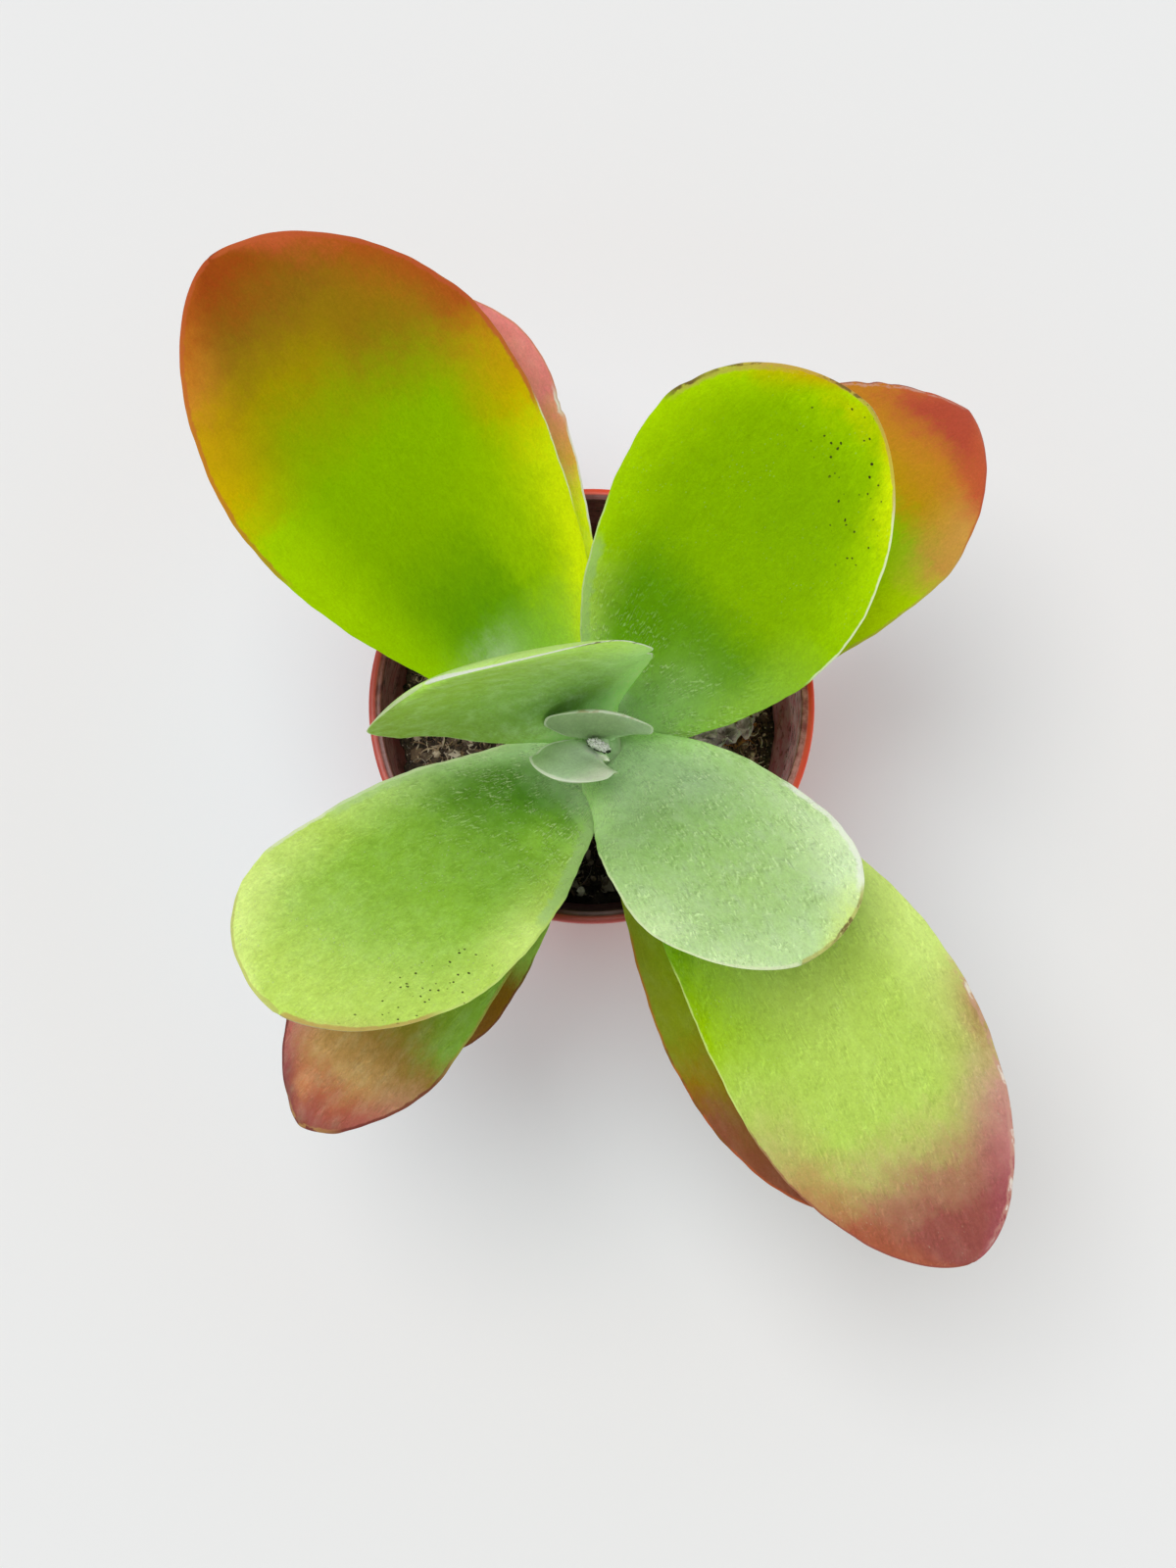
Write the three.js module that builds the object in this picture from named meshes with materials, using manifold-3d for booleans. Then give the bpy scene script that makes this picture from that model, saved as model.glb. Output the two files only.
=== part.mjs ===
// A paddle plant (Kalanchoe luciae) in a round nursery pot.
// Millimetres, +Z up. The origin is the centre of the pot's flat underside.
// Compass names treat +Y as north and +X as east.
import * as THREE from "three";
import { mergeVertices } from "three/addons/utils/BufferGeometryUtils.js";
import Module from "manifold-3d";

const wasm = await Module();
wasm.setup();

// ---------------------------------------------------------------- driving dimensions

const CLEARANCE = 0.3; // the gap between pieces that touch

const POT = {
  height: 88,
  rimRadius: 51, // a 4 inch pot measures about 102 mm over its lip
  baseRadius: 36,
  baseRound: 1.2, // the rounding of its lower edge
  wall: 1.2,
  floor: 1.6,
  lipWidth: 3,
  lipHeight: 2.4,
  lipOverhang: 1.6, // how far the lip stands out from the band under it
  grooveDepth: 0.5, // the groove that is moulded round the top of the lip
  collarHeight: 19, // the upright band under the lip
  collarTaper: 1.2,
  collarStep: 3, // how far the band stands out from the body
  shoulderHeight: 1, // of the slope between the body and the band
  drainRadius: 3.2,
  drainCircle: 24,
  drainCount: 6,
  sides: 48,
};

const SOIL = {
  surface: 66, // it has settled to just under the pot's shoulder
  pileRise: 4.5, // it is heaped against the west wall, up onto the shoulder
  pileStart: 8, // how far west of the middle the heap starts
  pileReach: 28,
  bump: 0.7,
  edgeWidth: 10, // it falls off a little within this distance of the wall
  edgeDrop: 1.2,
  edgeDepth: 0.4, // of the upright rim all round it
  rings: 9,
  ringCrowding: 0.85, // below 1 the rings crowd towards the wall
  wallGap: 0.36, // a little over the clearance, because the faceted walls bulge inwards
  chipCount: 26,
  chipRadius: [1.3, 2.8], // smallest and largest
  chipStretch: [1, 1.7],
  chipFlatness: [0.5, 0.9],
  chipMargin: 6, // how far the chips stay from the wall
  seed: 11,
};

const STEM = {
  foot: new THREE.Vector3(4.3, 0.5, 32), // its lower end, deep in the soil
  top: new THREE.Vector3(1.5, -17.7, 123),
  soilRadius: 7,
  topRadius: 3.6,
  taper: 1.4, // above 1 it thins more towards its top
  nodeSwell: 0.5, // the ring that each pair of leaves grows from
  nodeReach: 1.5, // how far the ring runs above and below them
  levels: 26,
  capHeight: 1.4,
  sides: 16,
};

// The growing point at the top of the stem.
const BUD = {
  halfWidth: 2.3,
  halfDepth: 1.1,
  halfHeight: 2.2,
  turn: -25, // degrees
  rise: 2.6, // from the top of the stem to its middle
};

// The leaves grow in crossed pairs, so their azimuths alternate by about a right angle.
// azimuth, rise, tip, sweep, roll and cup are degrees; the rest are millimetres or shares of the length.
//   azimuth   compass direction of the leaf's root, counted from east through north
//   height    where its root meets the stem
//   rise, tip slope of the leaf at its root and at its tip
//   sweep     how far it bends sideways, to the left when looking out along it
//   roll      how far it turns about its own length; cup is how far its margins lift
//   widest    where it is widest; skew moves that outwards on its left and inwards on its right
//   blunt     how square its end is
//   base      half of the width of its root; reach is how far from the stem's axis the root lies
//   thick     how thick it is between its margins, halfway along
//   wave      how far its margins ripple; curl is how far its left margin turns up
const LEAVES = [
  { name: "leaf_1_north", azimuth: 92, height: 122, length: 18, width: 23, rise: 88, tip: 82,
    sweep: -1, roll: -6, cup: 12, widest: 0.6, blunt: 2.4, skew: 0, base: 3.5, reach: 2, thick: 1.7,
    wave: 0.15, curl: 0, color: 0x86a878 },
  { name: "leaf_1_southwest", azimuth: 231, height: 122, length: 20, width: 18, rise: 60, tip: 48,
    sweep: -1, roll: 25, cup: 10, widest: 0.6, blunt: 2.4, skew: 0, base: 3.5, reach: 2, thick: 1.7,
    wave: 0.15, curl: 0, color: 0x93b485 },
  { name: "leaf_2_northwest", azimuth: 122.5, height: 116, length: 78.5, width: 57, rise: 81, tip: 84.5,
    sweep: 45.4, roll: -18.9, cup: 16, widest: 0.65, blunt: 2.72, skew: 0.05, base: 8, reach: 6, thick: 3,
    wave: 0.3, curl: 0, color: 0x7f9f56 },
  { name: "leaf_2_southeast", azimuth: -46, height: 115, length: 76, width: 50, rise: 50, tip: 27,
    sweep: -14, roll: -26, cup: 12, widest: 0.7, blunt: 1.9, skew: -0.02, base: 10, reach: 6, thick: 3.6,
    wave: 0.3, curl: 0, color: 0xaacb86 },
  { name: "leaf_3_northeast", azimuth: 52, height: 108, length: 99, width: 61, rise: 61, tip: 32.5,
    sweep: -10, roll: -5, cup: 22, widest: 0.68, blunt: 1.8, skew: 0.06, base: 10, reach: 6, thick: 4.2,
    wave: 0.5, curl: 2.5, color: 0x8cba14 },
  { name: "leaf_3_southwest", azimuth: 225, height: 107, length: 111.5, width: 52.5, rise: 44, tip: 41,
    sweep: 5, roll: 13.5, cup: 14, widest: 0.67, blunt: 2.1, skew: -0.02, base: 10, reach: 6, thick: 4.2,
    wave: 0.5, curl: 0, color: 0x86b038 },
  { name: "leaf_4_northwest", azimuth: 128, height: 101, length: 129.5, width: 71.5, rise: 38, tip: 15.5,
    sweep: 7.5, roll: 7.5, cup: 16, widest: 0.65, blunt: 1.68, skew: -0.02, base: 9, reach: 6, thick: 4.8,
    wave: 0.6, curl: 0, color: 0x98b012 },
  { name: "leaf_4_southeast", azimuth: -47.5, height: 100, length: 133.5, width: 55, rise: 28, tip: -5,
    sweep: -18, roll: 14, cup: 10, widest: 0.64, blunt: 1.76, skew: -0.04, base: 9, reach: 6, thick: 4.8,
    wave: 0.6, curl: 0, color: 0xa8b84c },
  { name: "leaf_5_northeast", azimuth: 43.7, height: 94, length: 107.5, width: 57, rise: 30, tip: -10.5,
    sweep: -4, roll: -11.4, cup: 14, widest: 0.7, blunt: 1.5, skew: 0.02, base: 9, reach: 6, thick: 4.6,
    wave: 0.6, curl: 0, color: 0xb08a2a },
  { name: "leaf_5_southwest", azimuth: 231, height: 93, length: 103.5, width: 41.5, rise: 26, tip: -9.5,
    sweep: 3.7, roll: 14.2, cup: 12, widest: 0.71, blunt: 1.6, skew: 0.04, base: 9, reach: 6, thick: 4.6,
    wave: 0.6, curl: 0, color: 0x9b7a48 },
  { name: "leaf_6_northwest", azimuth: 126, height: 88, length: 109, width: 66, rise: 30, tip: 25.5,
    sweep: -6, roll: 6, cup: 14, widest: 0.71, blunt: 1.81, skew: -0.02, base: 9, reach: 6, thick: 4.6,
    wave: 0.6, curl: 0, color: 0xcf9058 },
  { name: "leaf_6_southeast", azimuth: -52.5, height: 87, length: 119, width: 62, rise: 20, tip: -16.5,
    sweep: -7.5, roll: 10, cup: 12, widest: 0.63, blunt: 2.02, skew: 0, base: 9, reach: 6, thick: 4.6,
    wave: 0.6, curl: 0, color: 0x8a6a34 },
  { name: "leaf_7_southwest", azimuth: 223.5, height: 83.5, length: 88, width: 50.5, rise: 26, tip: -22.5,
    sweep: 13.5, roll: -11, cup: 10, widest: 0.66, blunt: 1.72, skew: 0.04, base: 9, reach: 6, thick: 4.2,
    wave: 0.6, curl: 0, color: 0x7c5a34 },
];

const WITHERED_LEAF = {
  name: "withered_leaf_7_northeast", azimuth: 14, height: 80.5, length: 36, width: 17, rise: -30, tip: -6,
  sweep: 2, roll: -6, cup: 70, widest: 0.6, blunt: 1.7, skew: 0, base: 4, reach: 6, thick: 1.3,
  wave: 1.1, curl: 0, color: 0x8a7a66,
};

// The blade's columns run from its right margin (-1) to its left one (+1).
const BLADE_COLUMNS = [-1, -0.94, -0.8, -0.55, -0.28, 0, 0.28, 0.55, 0.8, 0.94, 1];
const BLADE_ROWS = 15;
const ROW_CROWDING = 1.8; // above 1 the rows crowd towards the tip
const WAVES_PER_LEAF = 2.5;
const WAVE_PHASE = { left: 1.1, right: 2.7 }; // radians
const WIDENING = 1.3; // above 1 the root stays narrow for longer
const ROLL_END = 0.6; // the share of the length within which a leaf's roll is complete
const WAVE_START = 0.3; // the share of the length within which ripples and curl set in
const CURL_START = 0.55; // the share of the half width where the curl begins
const ROOT_FLESH = 1.12; // thickness at the root and at the tip, as shares of the leaf's thickness
const TIP_FLESH = 0.85;
const MARGIN_POWERS = { across: 2.5, round: 0.7 }; // how the flesh thins towards the margins
const TIP_POWERS = { along: 6, round: 0.5 }; // how it thins towards the tip
const CENTRE_STEPS = 24; // straight steps that add up to the leaf's curved midrib

const POT_COLOR = 0xc8502e;
const SOIL_COLOR = 0x33261c;
const STEM_COLOR = 0x9aa37a;
const BUD_COLOR = 0xb9bfa9;

// ---------------------------------------------------------------- helpers

const DEGREE = Math.PI / 180;

function clamp01(x) {
  return Math.min(Math.max(x, 0), 1);
}

function smooth(x) {
  const c = clamp01(x);
  return c * c * (3 - 2 * c);
}

function mix(a, b, share) {
  return a + (b - a) * share;
}

function seededRandom(seed) {
  let state = seed;
  return () => {
    state = (state * 1664525 + 1013904223) % 4294967296;
    return state / 4294967296;
  };
}

function bareGeometry(positions, triangles) {
  const geometry = new THREE.BufferGeometry();
  geometry.setAttribute("position", new THREE.Float32BufferAttribute(positions, 3));
  geometry.setIndex(triangles);
  return geometry;
}

function toSolid(geometry) {
  const bare = geometry.clone();
  bare.deleteAttribute("normal");
  bare.deleteAttribute("uv");
  const merged = mergeVertices(bare);
  const mesh = new wasm.Mesh({
    numProp: 3,
    vertProperties: Float32Array.from(merged.attributes.position.array),
    triVerts: Uint32Array.from(merged.index.array),
  });
  return new wasm.Manifold(mesh);
}

function toGeometry(solid) {
  const mesh = solid.getMesh();
  const geometry = new THREE.BufferGeometry();
  geometry.setAttribute("position", new THREE.BufferAttribute(mesh.vertProperties, 3));
  geometry.setIndex(new THREE.BufferAttribute(mesh.triVerts, 1));
  geometry.computeVertexNormals();
  return geometry;
}

function largestBody(solid) {
  return solid.decompose().reduce((best, body) => (body.volume() > best.volume() ? body : best));
}

function namedMesh(name, solid, color, roughness) {
  const material = new THREE.MeshStandardMaterial({ color, roughness, metalness: 0 });
  const mesh = new THREE.Mesh(toGeometry(solid), material);
  mesh.name = name;
  return mesh;
}

// ---------------------------------------------------------------- leaf blades

function stemAxisAt(height) {
  const share = (height - STEM.foot.z) / (STEM.top.z - STEM.foot.z);
  return new THREE.Vector3().lerpVectors(STEM.foot, STEM.top, share);
}

// Half of the blade's width at s, which runs from 0 at the root to 1 at the tip.
function halfWidth(leaf, s, t) {
  const full = leaf.width / 2;
  const widest = leaf.widest + leaf.skew * Math.sign(t);
  if (s < widest) {
    const share = clamp01(s / widest);
    return mix(leaf.base, full, Math.sin((Math.PI / 2) * share) ** WIDENING);
  }
  const beyond = clamp01((s - widest) / (1 - widest));
  return full * Math.max(1 - beyond ** leaf.blunt, 0) ** (1 / leaf.blunt);
}

// Directions at s: along the blade, across it to the left, and up out of its upper face.
function bladeDirections(leaf, s) {
  const azimuth = leaf.azimuth * DEGREE;
  const slope = mix(leaf.rise, leaf.tip, s) * DEGREE;
  const sweep = leaf.sweep * s * DEGREE;
  const outward = new THREE.Vector3(Math.cos(azimuth), Math.sin(azimuth), 0);
  const left = new THREE.Vector3(-Math.sin(azimuth), Math.cos(azimuth), 0);
  const straight = outward.clone().multiplyScalar(Math.cos(slope)).setZ(Math.sin(slope));
  const up = outward.clone().multiplyScalar(-Math.sin(slope)).setZ(Math.cos(slope));
  const along = straight.clone().multiplyScalar(Math.cos(sweep)).addScaledVector(left, Math.sin(sweep));
  const across = left.clone().multiplyScalar(Math.cos(sweep)).addScaledVector(straight, -Math.sin(sweep));
  return { along, across, up };
}

function bladeCentre(leaf, s) {
  const azimuth = leaf.azimuth * DEGREE;
  const centre = stemAxisAt(leaf.height);
  centre.x += leaf.reach * Math.cos(azimuth);
  centre.y += leaf.reach * Math.sin(azimuth);
  for (let step = 0; step < CENTRE_STEPS; step += 1) {
    const { along } = bladeDirections(leaf, (s * (step + 0.5)) / CENTRE_STEPS);
    centre.addScaledVector(along, (leaf.length * s) / CENTRE_STEPS);
  }
  return centre;
}

// A point of the blade at s along it and t across it, lifted off its middle surface by lift.
function bladePoint(leaf, s, t, lift, grow) {
  const { across, up } = bladeDirections(leaf, s);
  const roll = leaf.roll * DEGREE * smooth(s / ROLL_END);
  const side = across.clone().multiplyScalar(Math.cos(roll)).addScaledVector(up, Math.sin(roll));
  const normal = up.clone().multiplyScalar(Math.cos(roll)).addScaledVector(across, -Math.sin(roll));
  const cup = leaf.cup * DEGREE;
  const half = halfWidth(leaf, s, t) + grow;
  const onset = smooth(s / WAVE_START);
  const sidePhase = t > 0 ? WAVE_PHASE.left : WAVE_PHASE.right;
  const phase = WAVES_PER_LEAF * 2 * Math.PI * s + sidePhase + leaf.azimuth;
  const ripple = leaf.wave * Math.sin(phase) * Math.abs(t) ** 3 * onset;
  const curlAcross = smooth((t - CURL_START) / (1 - CURL_START));
  const curl = leaf.curl * curlAcross * onset * smooth((0.95 - s) / WAVE_START);
  const rise = (half * (1 - Math.cos(cup * t))) / cup + ripple + curl;
  const point = bladeCentre(leaf, s);
  point.addScaledVector(side, (half * Math.sin(cup * t)) / cup - lift * Math.sin(cup * t));
  point.addScaledVector(normal, rise + lift * Math.cos(cup * t));
  return point;
}

// Half of the blade's thickness: fleshy in the middle, with rounded margins and a rounded end.
function halfThickness(leaf, s, t) {
  const beyond = clamp01((s - leaf.widest) / (1 - leaf.widest));
  const body = (leaf.thick / 2) * mix(ROOT_FLESH, TIP_FLESH, s);
  const acrossShare = (1 - Math.abs(t) ** MARGIN_POWERS.across) ** MARGIN_POWERS.round;
  const tipShare = (1 - beyond ** TIP_POWERS.along) ** TIP_POWERS.round;
  return body * acrossShare * tipShare;
}

// One closed blade. Both faces are split into triangles alike, and they share the margins.
function bladeGeometry(leaf, grow) {
  const positions = [];
  const triangles = [];
  const last = BLADE_COLUMNS.length - 1;
  const addPoint = (point) => {
    positions.push(point.x, point.y, point.z);
    return positions.length / 3 - 1;
  };
  const upper = [];
  const lower = [];
  for (let row = 0; row < BLADE_ROWS; row += 1) {
    const s = 1 - (1 - row / BLADE_ROWS) ** ROW_CROWDING;
    const upperRow = [];
    const lowerRow = [];
    BLADE_COLUMNS.forEach((t, column) => {
      const isMargin = column === 0 || column === last;
      const lift = isMargin ? 0 : halfThickness(leaf, s, t) + grow;
      const top = addPoint(bladePoint(leaf, s, t, lift, grow));
      upperRow.push(top);
      lowerRow.push(isMargin ? top : addPoint(bladePoint(leaf, s, t, -lift, grow)));
    });
    upper.push(upperRow);
    lower.push(lowerRow);
  }
  const tip = addPoint(bladePoint(leaf, 1 + grow / leaf.length, 0, 0, 0));
  for (let row = 0; row < BLADE_ROWS - 1; row += 1) {
    for (let column = 0; column < last; column += 1) {
      const near = row;
      const far = row + 1;
      const next = column + 1;
      triangles.push(upper[near][column], upper[far][column], upper[far][next]);
      triangles.push(upper[near][column], upper[far][next], upper[near][next]);
      triangles.push(lower[near][column], lower[far][next], lower[far][column]);
      triangles.push(lower[near][column], lower[near][next], lower[far][next]);
    }
  }
  const end = BLADE_ROWS - 1;
  for (let column = 0; column < last; column += 1) {
    triangles.push(upper[end][column], tip, upper[end][column + 1]);
    triangles.push(lower[end][column], lower[end][column + 1], tip);
    if (column > 0) {
      triangles.push(upper[0][column], upper[0][column + 1], lower[0][column]);
    }
    if (column < last - 1) {
      triangles.push(upper[0][column + 1], lower[0][column + 1], lower[0][column]);
    }
  }
  return bareGeometry(positions, triangles);
}

// ---------------------------------------------------------------- stem and bud

// The stem's radius, with a low ring where each pair of leaves grows.
function stemRadiusAt(height) {
  const share = clamp01((height - SOIL.surface) / (STEM.top.z - SOIL.surface));
  const taper = mix(STEM.soilRadius, STEM.topRadius, share ** STEM.taper);
  const isNode = LEAVES.some((leaf) => Math.abs(leaf.height - height) < STEM.nodeReach);
  return taper + (isNode ? STEM.nodeSwell : 0);
}

function stemSolid(grow) {
  const axis = new THREE.Vector3().subVectors(STEM.top, STEM.foot);
  const profile = [new THREE.Vector2(0, -grow)];
  for (let level = 0; level <= STEM.levels; level += 1) {
    const share = level / STEM.levels;
    const height = mix(STEM.foot.z, STEM.top.z, share);
    const along = axis.length() * share + (level === 0 ? -grow : 0);
    profile.push(new THREE.Vector2(stemRadiusAt(height) + grow, along));
  }
  const capRadius = STEM.topRadius * 0.6;
  profile.push(new THREE.Vector2(capRadius + grow, axis.length() + STEM.capHeight * 0.7 + grow));
  profile.push(new THREE.Vector2(0, axis.length() + STEM.capHeight + grow));
  const geometry = new THREE.LatheGeometry(profile, STEM.sides);
  geometry.rotateX(Math.PI / 2);
  const tilt = new THREE.Quaternion().setFromUnitVectors(new THREE.Vector3(0, 0, 1), axis.normalize());
  geometry.applyQuaternion(tilt);
  geometry.translate(STEM.foot.x, STEM.foot.y, STEM.foot.z);
  return toSolid(geometry);
}

// The growing point: a small pale ridge, two folded leaflets pressed together.
function budSolid() {
  const geometry = new THREE.SphereGeometry(1, 14, 10);
  geometry.scale(BUD.halfWidth, BUD.halfDepth, BUD.halfHeight);
  geometry.rotateZ(BUD.turn * DEGREE);
  const seat = stemAxisAt(STEM.top.z + BUD.rise);
  geometry.translate(seat.x, seat.y, seat.z);
  return toSolid(geometry);
}

// ---------------------------------------------------------------- pot

// The pot's section as [radius, height], from the middle of its underside, up its outside, over the
// grooved lip and down its inside to the middle of its floor.
function potProfile() {
  const { height, rimRadius, baseRadius, baseRound, wall, floor, lipWidth, lipHeight, grooveDepth } = POT;
  const { collarHeight, collarTaper, collarStep, shoulderHeight } = POT;
  const collarTop = height - lipHeight;
  const collarFoot = height - collarHeight;
  const collarRadius = rimRadius - POT.lipOverhang;
  const collarFootRadius = collarRadius - collarTaper;
  const bodyTop = collarFootRadius - collarStep;
  const innerRim = rimRadius - lipWidth;
  return [
    [0, 0],
    [baseRadius - baseRound, 0],
    [baseRadius, baseRound],
    [bodyTop, collarFoot],
    [collarFootRadius, collarFoot + shoulderHeight],
    [collarRadius, collarTop],
    [rimRadius, collarTop + lipHeight / 4],
    [rimRadius, height - lipHeight / 4],
    [mix(rimRadius, innerRim, 0.16), height],
    [mix(rimRadius, innerRim, 0.42), height],
    [mix(rimRadius, innerRim, 0.56), height - grooveDepth],
    [mix(rimRadius, innerRim, 0.72), height - grooveDepth],
    [mix(rimRadius, innerRim, 0.84), height - grooveDepth / 5],
    [innerRim, height - grooveDepth],
    [collarFootRadius - wall, collarFoot + shoulderHeight + wall],
    [bodyTop - wall, collarFoot - wall / 3],
    [baseRadius - wall, floor + 1],
    [baseRadius - wall - 1, floor],
    [0, floor],
  ];
}

function potSolid() {
  const points = potProfile().map(([radius, height]) => new THREE.Vector2(radius, height));
  const shell = new THREE.LatheGeometry(points, POT.sides);
  shell.rotateX(Math.PI / 2);
  let pot = toSolid(shell);
  for (let hole = 0; hole < POT.drainCount; hole += 1) {
    const angle = (hole / POT.drainCount) * 2 * Math.PI;
    const drain = new THREE.CylinderGeometry(POT.drainRadius, POT.drainRadius, POT.floor * 4, 16);
    drain.rotateX(Math.PI / 2);
    drain.translate(POT.drainCircle * Math.cos(angle), POT.drainCircle * Math.sin(angle), 0);
    pot = pot.subtract(toSolid(drain));
  }
  return pot;
}

// The inner wall alone, from the lip down to the floor.
function potInsideProfile() {
  const points = potProfile();
  return points.slice(-6, -1);
}

// The radius of the pot's inside at a height, read along its profile.
function potInsideRadius(height) {
  const inside = potInsideProfile();
  for (let k = 0; k < inside.length - 1; k += 1) {
    const [upperRadius, upperHeight] = inside[k];
    const [lowerRadius, lowerHeight] = inside[k + 1];
    if (height <= upperHeight && height >= lowerHeight) {
      return mix(lowerRadius, upperRadius, (height - lowerHeight) / (upperHeight - lowerHeight));
    }
  }
  return inside[0][0];
}

// ---------------------------------------------------------------- soil

function soilHeight(x, y) {
  const broad = Math.sin(x * 0.19 + 0.7) * Math.cos(y * 0.23 - 0.4);
  const fine = Math.sin(x * 0.61 - y * 0.37) * Math.cos(y * 0.53 + x * 0.29 + 1.2);
  const edgeStart = potInsideRadius(SOIL.surface) - SOIL.edgeWidth;
  const edge = smooth((Math.hypot(x, y) - edgeStart) / SOIL.edgeWidth);
  const pile = SOIL.pileRise * smooth((-x - SOIL.pileStart) / SOIL.pileReach);
  return SOIL.surface + SOIL.bump * (broad + fine) + pile - SOIL.edgeDrop * edge;
}

// A point on the wall's side of the soil, at an angle and a height.
function soilWallPoint(angle, height) {
  const radius = potInsideRadius(height) - SOIL.wallGap;
  return [radius * Math.cos(angle), radius * Math.sin(angle), height];
}

function soilEdgeHeight(angle) {
  const radius = potInsideRadius(SOIL.surface);
  return soilHeight(radius * Math.cos(angle), radius * Math.sin(angle));
}

function soilBody() {
  const positions = [];
  const triangles = [];
  const addPoint = (x, y, z) => {
    positions.push(x, y, z);
    return positions.length / 3 - 1;
  };
  const rings = [];
  for (let ring = 1; ring < SOIL.rings; ring += 1) {
    const share = (ring / SOIL.rings) ** SOIL.ringCrowding;
    rings.push((angle) => {
      const [edgeX, edgeY] = soilWallPoint(angle, soilEdgeHeight(angle));
      return [edgeX * share, edgeY * share, soilHeight(edgeX * share, edgeY * share)];
    });
  }
  const [shoulder, ...wallBelow] = potInsideProfile().slice(2);
  const shoulderHeight = shoulder[1];
  rings.push((angle) => soilWallPoint(angle, soilEdgeHeight(angle)));
  rings.push((angle) => {
    const height = Math.min(soilEdgeHeight(angle) - SOIL.edgeDepth, shoulderHeight);
    return soilWallPoint(angle, height);
  });
  wallBelow.forEach(([wallRadius, wallHeight]) => {
    const radius = wallRadius - SOIL.wallGap;
    const height = wallHeight + CLEARANCE;
    rings.push((angle) => [radius * Math.cos(angle), radius * Math.sin(angle), height]);
  });
  const ringPoints = rings.map((ring) => {
    const points = [];
    for (let side = 0; side < POT.sides; side += 1) {
      points.push(addPoint(...ring((side / POT.sides) * 2 * Math.PI)));
    }
    return points;
  });
  const crown = addPoint(0, 0, soilHeight(0, 0));
  const base = addPoint(0, 0, POT.floor + CLEARANCE);
  const lastRing = ringPoints.length - 1;
  for (let side = 0; side < POT.sides; side += 1) {
    const next = (side + 1) % POT.sides;
    triangles.push(crown, ringPoints[0][side], ringPoints[0][next]);
    triangles.push(base, ringPoints[lastRing][next], ringPoints[lastRing][side]);
    for (let ring = 0; ring < lastRing; ring += 1) {
      const near = ringPoints[ring];
      const far = ringPoints[ring + 1];
      triangles.push(near[side], far[side], far[next]);
      triangles.push(near[side], far[next], near[next]);
    }
  }
  return toSolid(bareGeometry(positions, triangles));
}

// Bark chips and grains, half sunk in the surface and fused to it.
function soilChips() {
  const random = seededRandom(SOIL.seed);
  const chips = [];
  const reach = potInsideRadius(SOIL.surface) - SOIL.chipMargin;
  for (let chip = 0; chip < SOIL.chipCount; chip += 1) {
    const angle = 2 * Math.PI * random();
    const radius = reach * Math.sqrt(0.12 + 0.88 * random());
    const geometry = new THREE.IcosahedronGeometry(mix(...SOIL.chipRadius, random()), 0);
    geometry.scale(mix(...SOIL.chipStretch, random()), 1, mix(...SOIL.chipFlatness, random()));
    geometry.rotateZ(2 * Math.PI * random());
    const x = radius * Math.cos(angle);
    const y = radius * Math.sin(angle);
    geometry.translate(x, y, soilHeight(x, y));
    chips.push(toSolid(geometry));
  }
  return chips;
}

// ---------------------------------------------------------------- assembly

const stem = stemSolid(0);
const stemRoom = stemSolid(CLEARANCE);

function buildPlant() {
  const plant = new THREE.Group();
  plant.name = "paddle_plant";

  // Each blade leaves room for the pieces above it.
  const bud = budSolid();
  const roomAbove = [bud];
  LEAVES.forEach((leaf) => {
    let blade = toSolid(bladeGeometry(leaf, 0)).subtract(stemRoom);
    roomAbove.forEach((room) => {
      blade = blade.subtract(room);
    });
    roomAbove.push(toSolid(bladeGeometry(leaf, CLEARANCE)));
    plant.add(namedMesh(leaf.name, largestBody(blade), leaf.color, 0.5));
  });

  const withered = largestBody(toSolid(bladeGeometry(WITHERED_LEAF, 0)).subtract(stemRoom));
  const witheredRoom = toSolid(bladeGeometry(WITHERED_LEAF, CLEARANCE));

  let soil = soilBody();
  soilChips().forEach((chip) => {
    soil = soil.add(chip);
  });
  soil = largestBody(soil.subtract(stemRoom).subtract(witheredRoom));

  plant.add(namedMesh("bud", bud.subtract(stemRoom), BUD_COLOR, 0.7));
  plant.add(namedMesh("stem", stem, STEM_COLOR, 0.7));
  plant.add(namedMesh(WITHERED_LEAF.name, withered, WITHERED_LEAF.color, 0.9));
  plant.add(namedMesh("soil", soil, SOIL_COLOR, 0.95));
  plant.add(namedMesh("pot", potSolid(), POT_COLOR, 0.45));
  return plant;
}

export default buildPlant();
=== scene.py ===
"""The looks of a paddle plant (Kalanchoe luciae) in its nursery pot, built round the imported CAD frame.

Shapes are worked out in millimetres, in the frame of the CAD model, and scaled to metres when a mesh is made.
Compass names treat +Y as north and +X as east.
"""

import math
from itertools import combinations

import bpy
import numpy as np
from mathutils import Matrix, Quaternion, Vector, noise


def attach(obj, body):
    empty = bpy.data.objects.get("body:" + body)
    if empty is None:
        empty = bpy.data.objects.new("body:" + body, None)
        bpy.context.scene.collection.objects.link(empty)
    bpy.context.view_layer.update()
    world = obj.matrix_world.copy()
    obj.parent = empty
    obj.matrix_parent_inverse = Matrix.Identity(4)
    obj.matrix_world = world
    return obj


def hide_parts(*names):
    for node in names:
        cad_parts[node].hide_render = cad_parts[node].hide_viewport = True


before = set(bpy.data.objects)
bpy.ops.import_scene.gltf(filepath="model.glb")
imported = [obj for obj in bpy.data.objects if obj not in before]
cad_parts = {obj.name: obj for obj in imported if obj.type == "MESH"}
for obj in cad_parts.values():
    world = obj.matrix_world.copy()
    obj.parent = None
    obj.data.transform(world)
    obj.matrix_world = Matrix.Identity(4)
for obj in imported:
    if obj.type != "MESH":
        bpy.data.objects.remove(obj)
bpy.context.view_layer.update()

MM = 0.001

# ---------------------------------------------------------------- the CAD model's sizes, in millimetres

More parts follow.
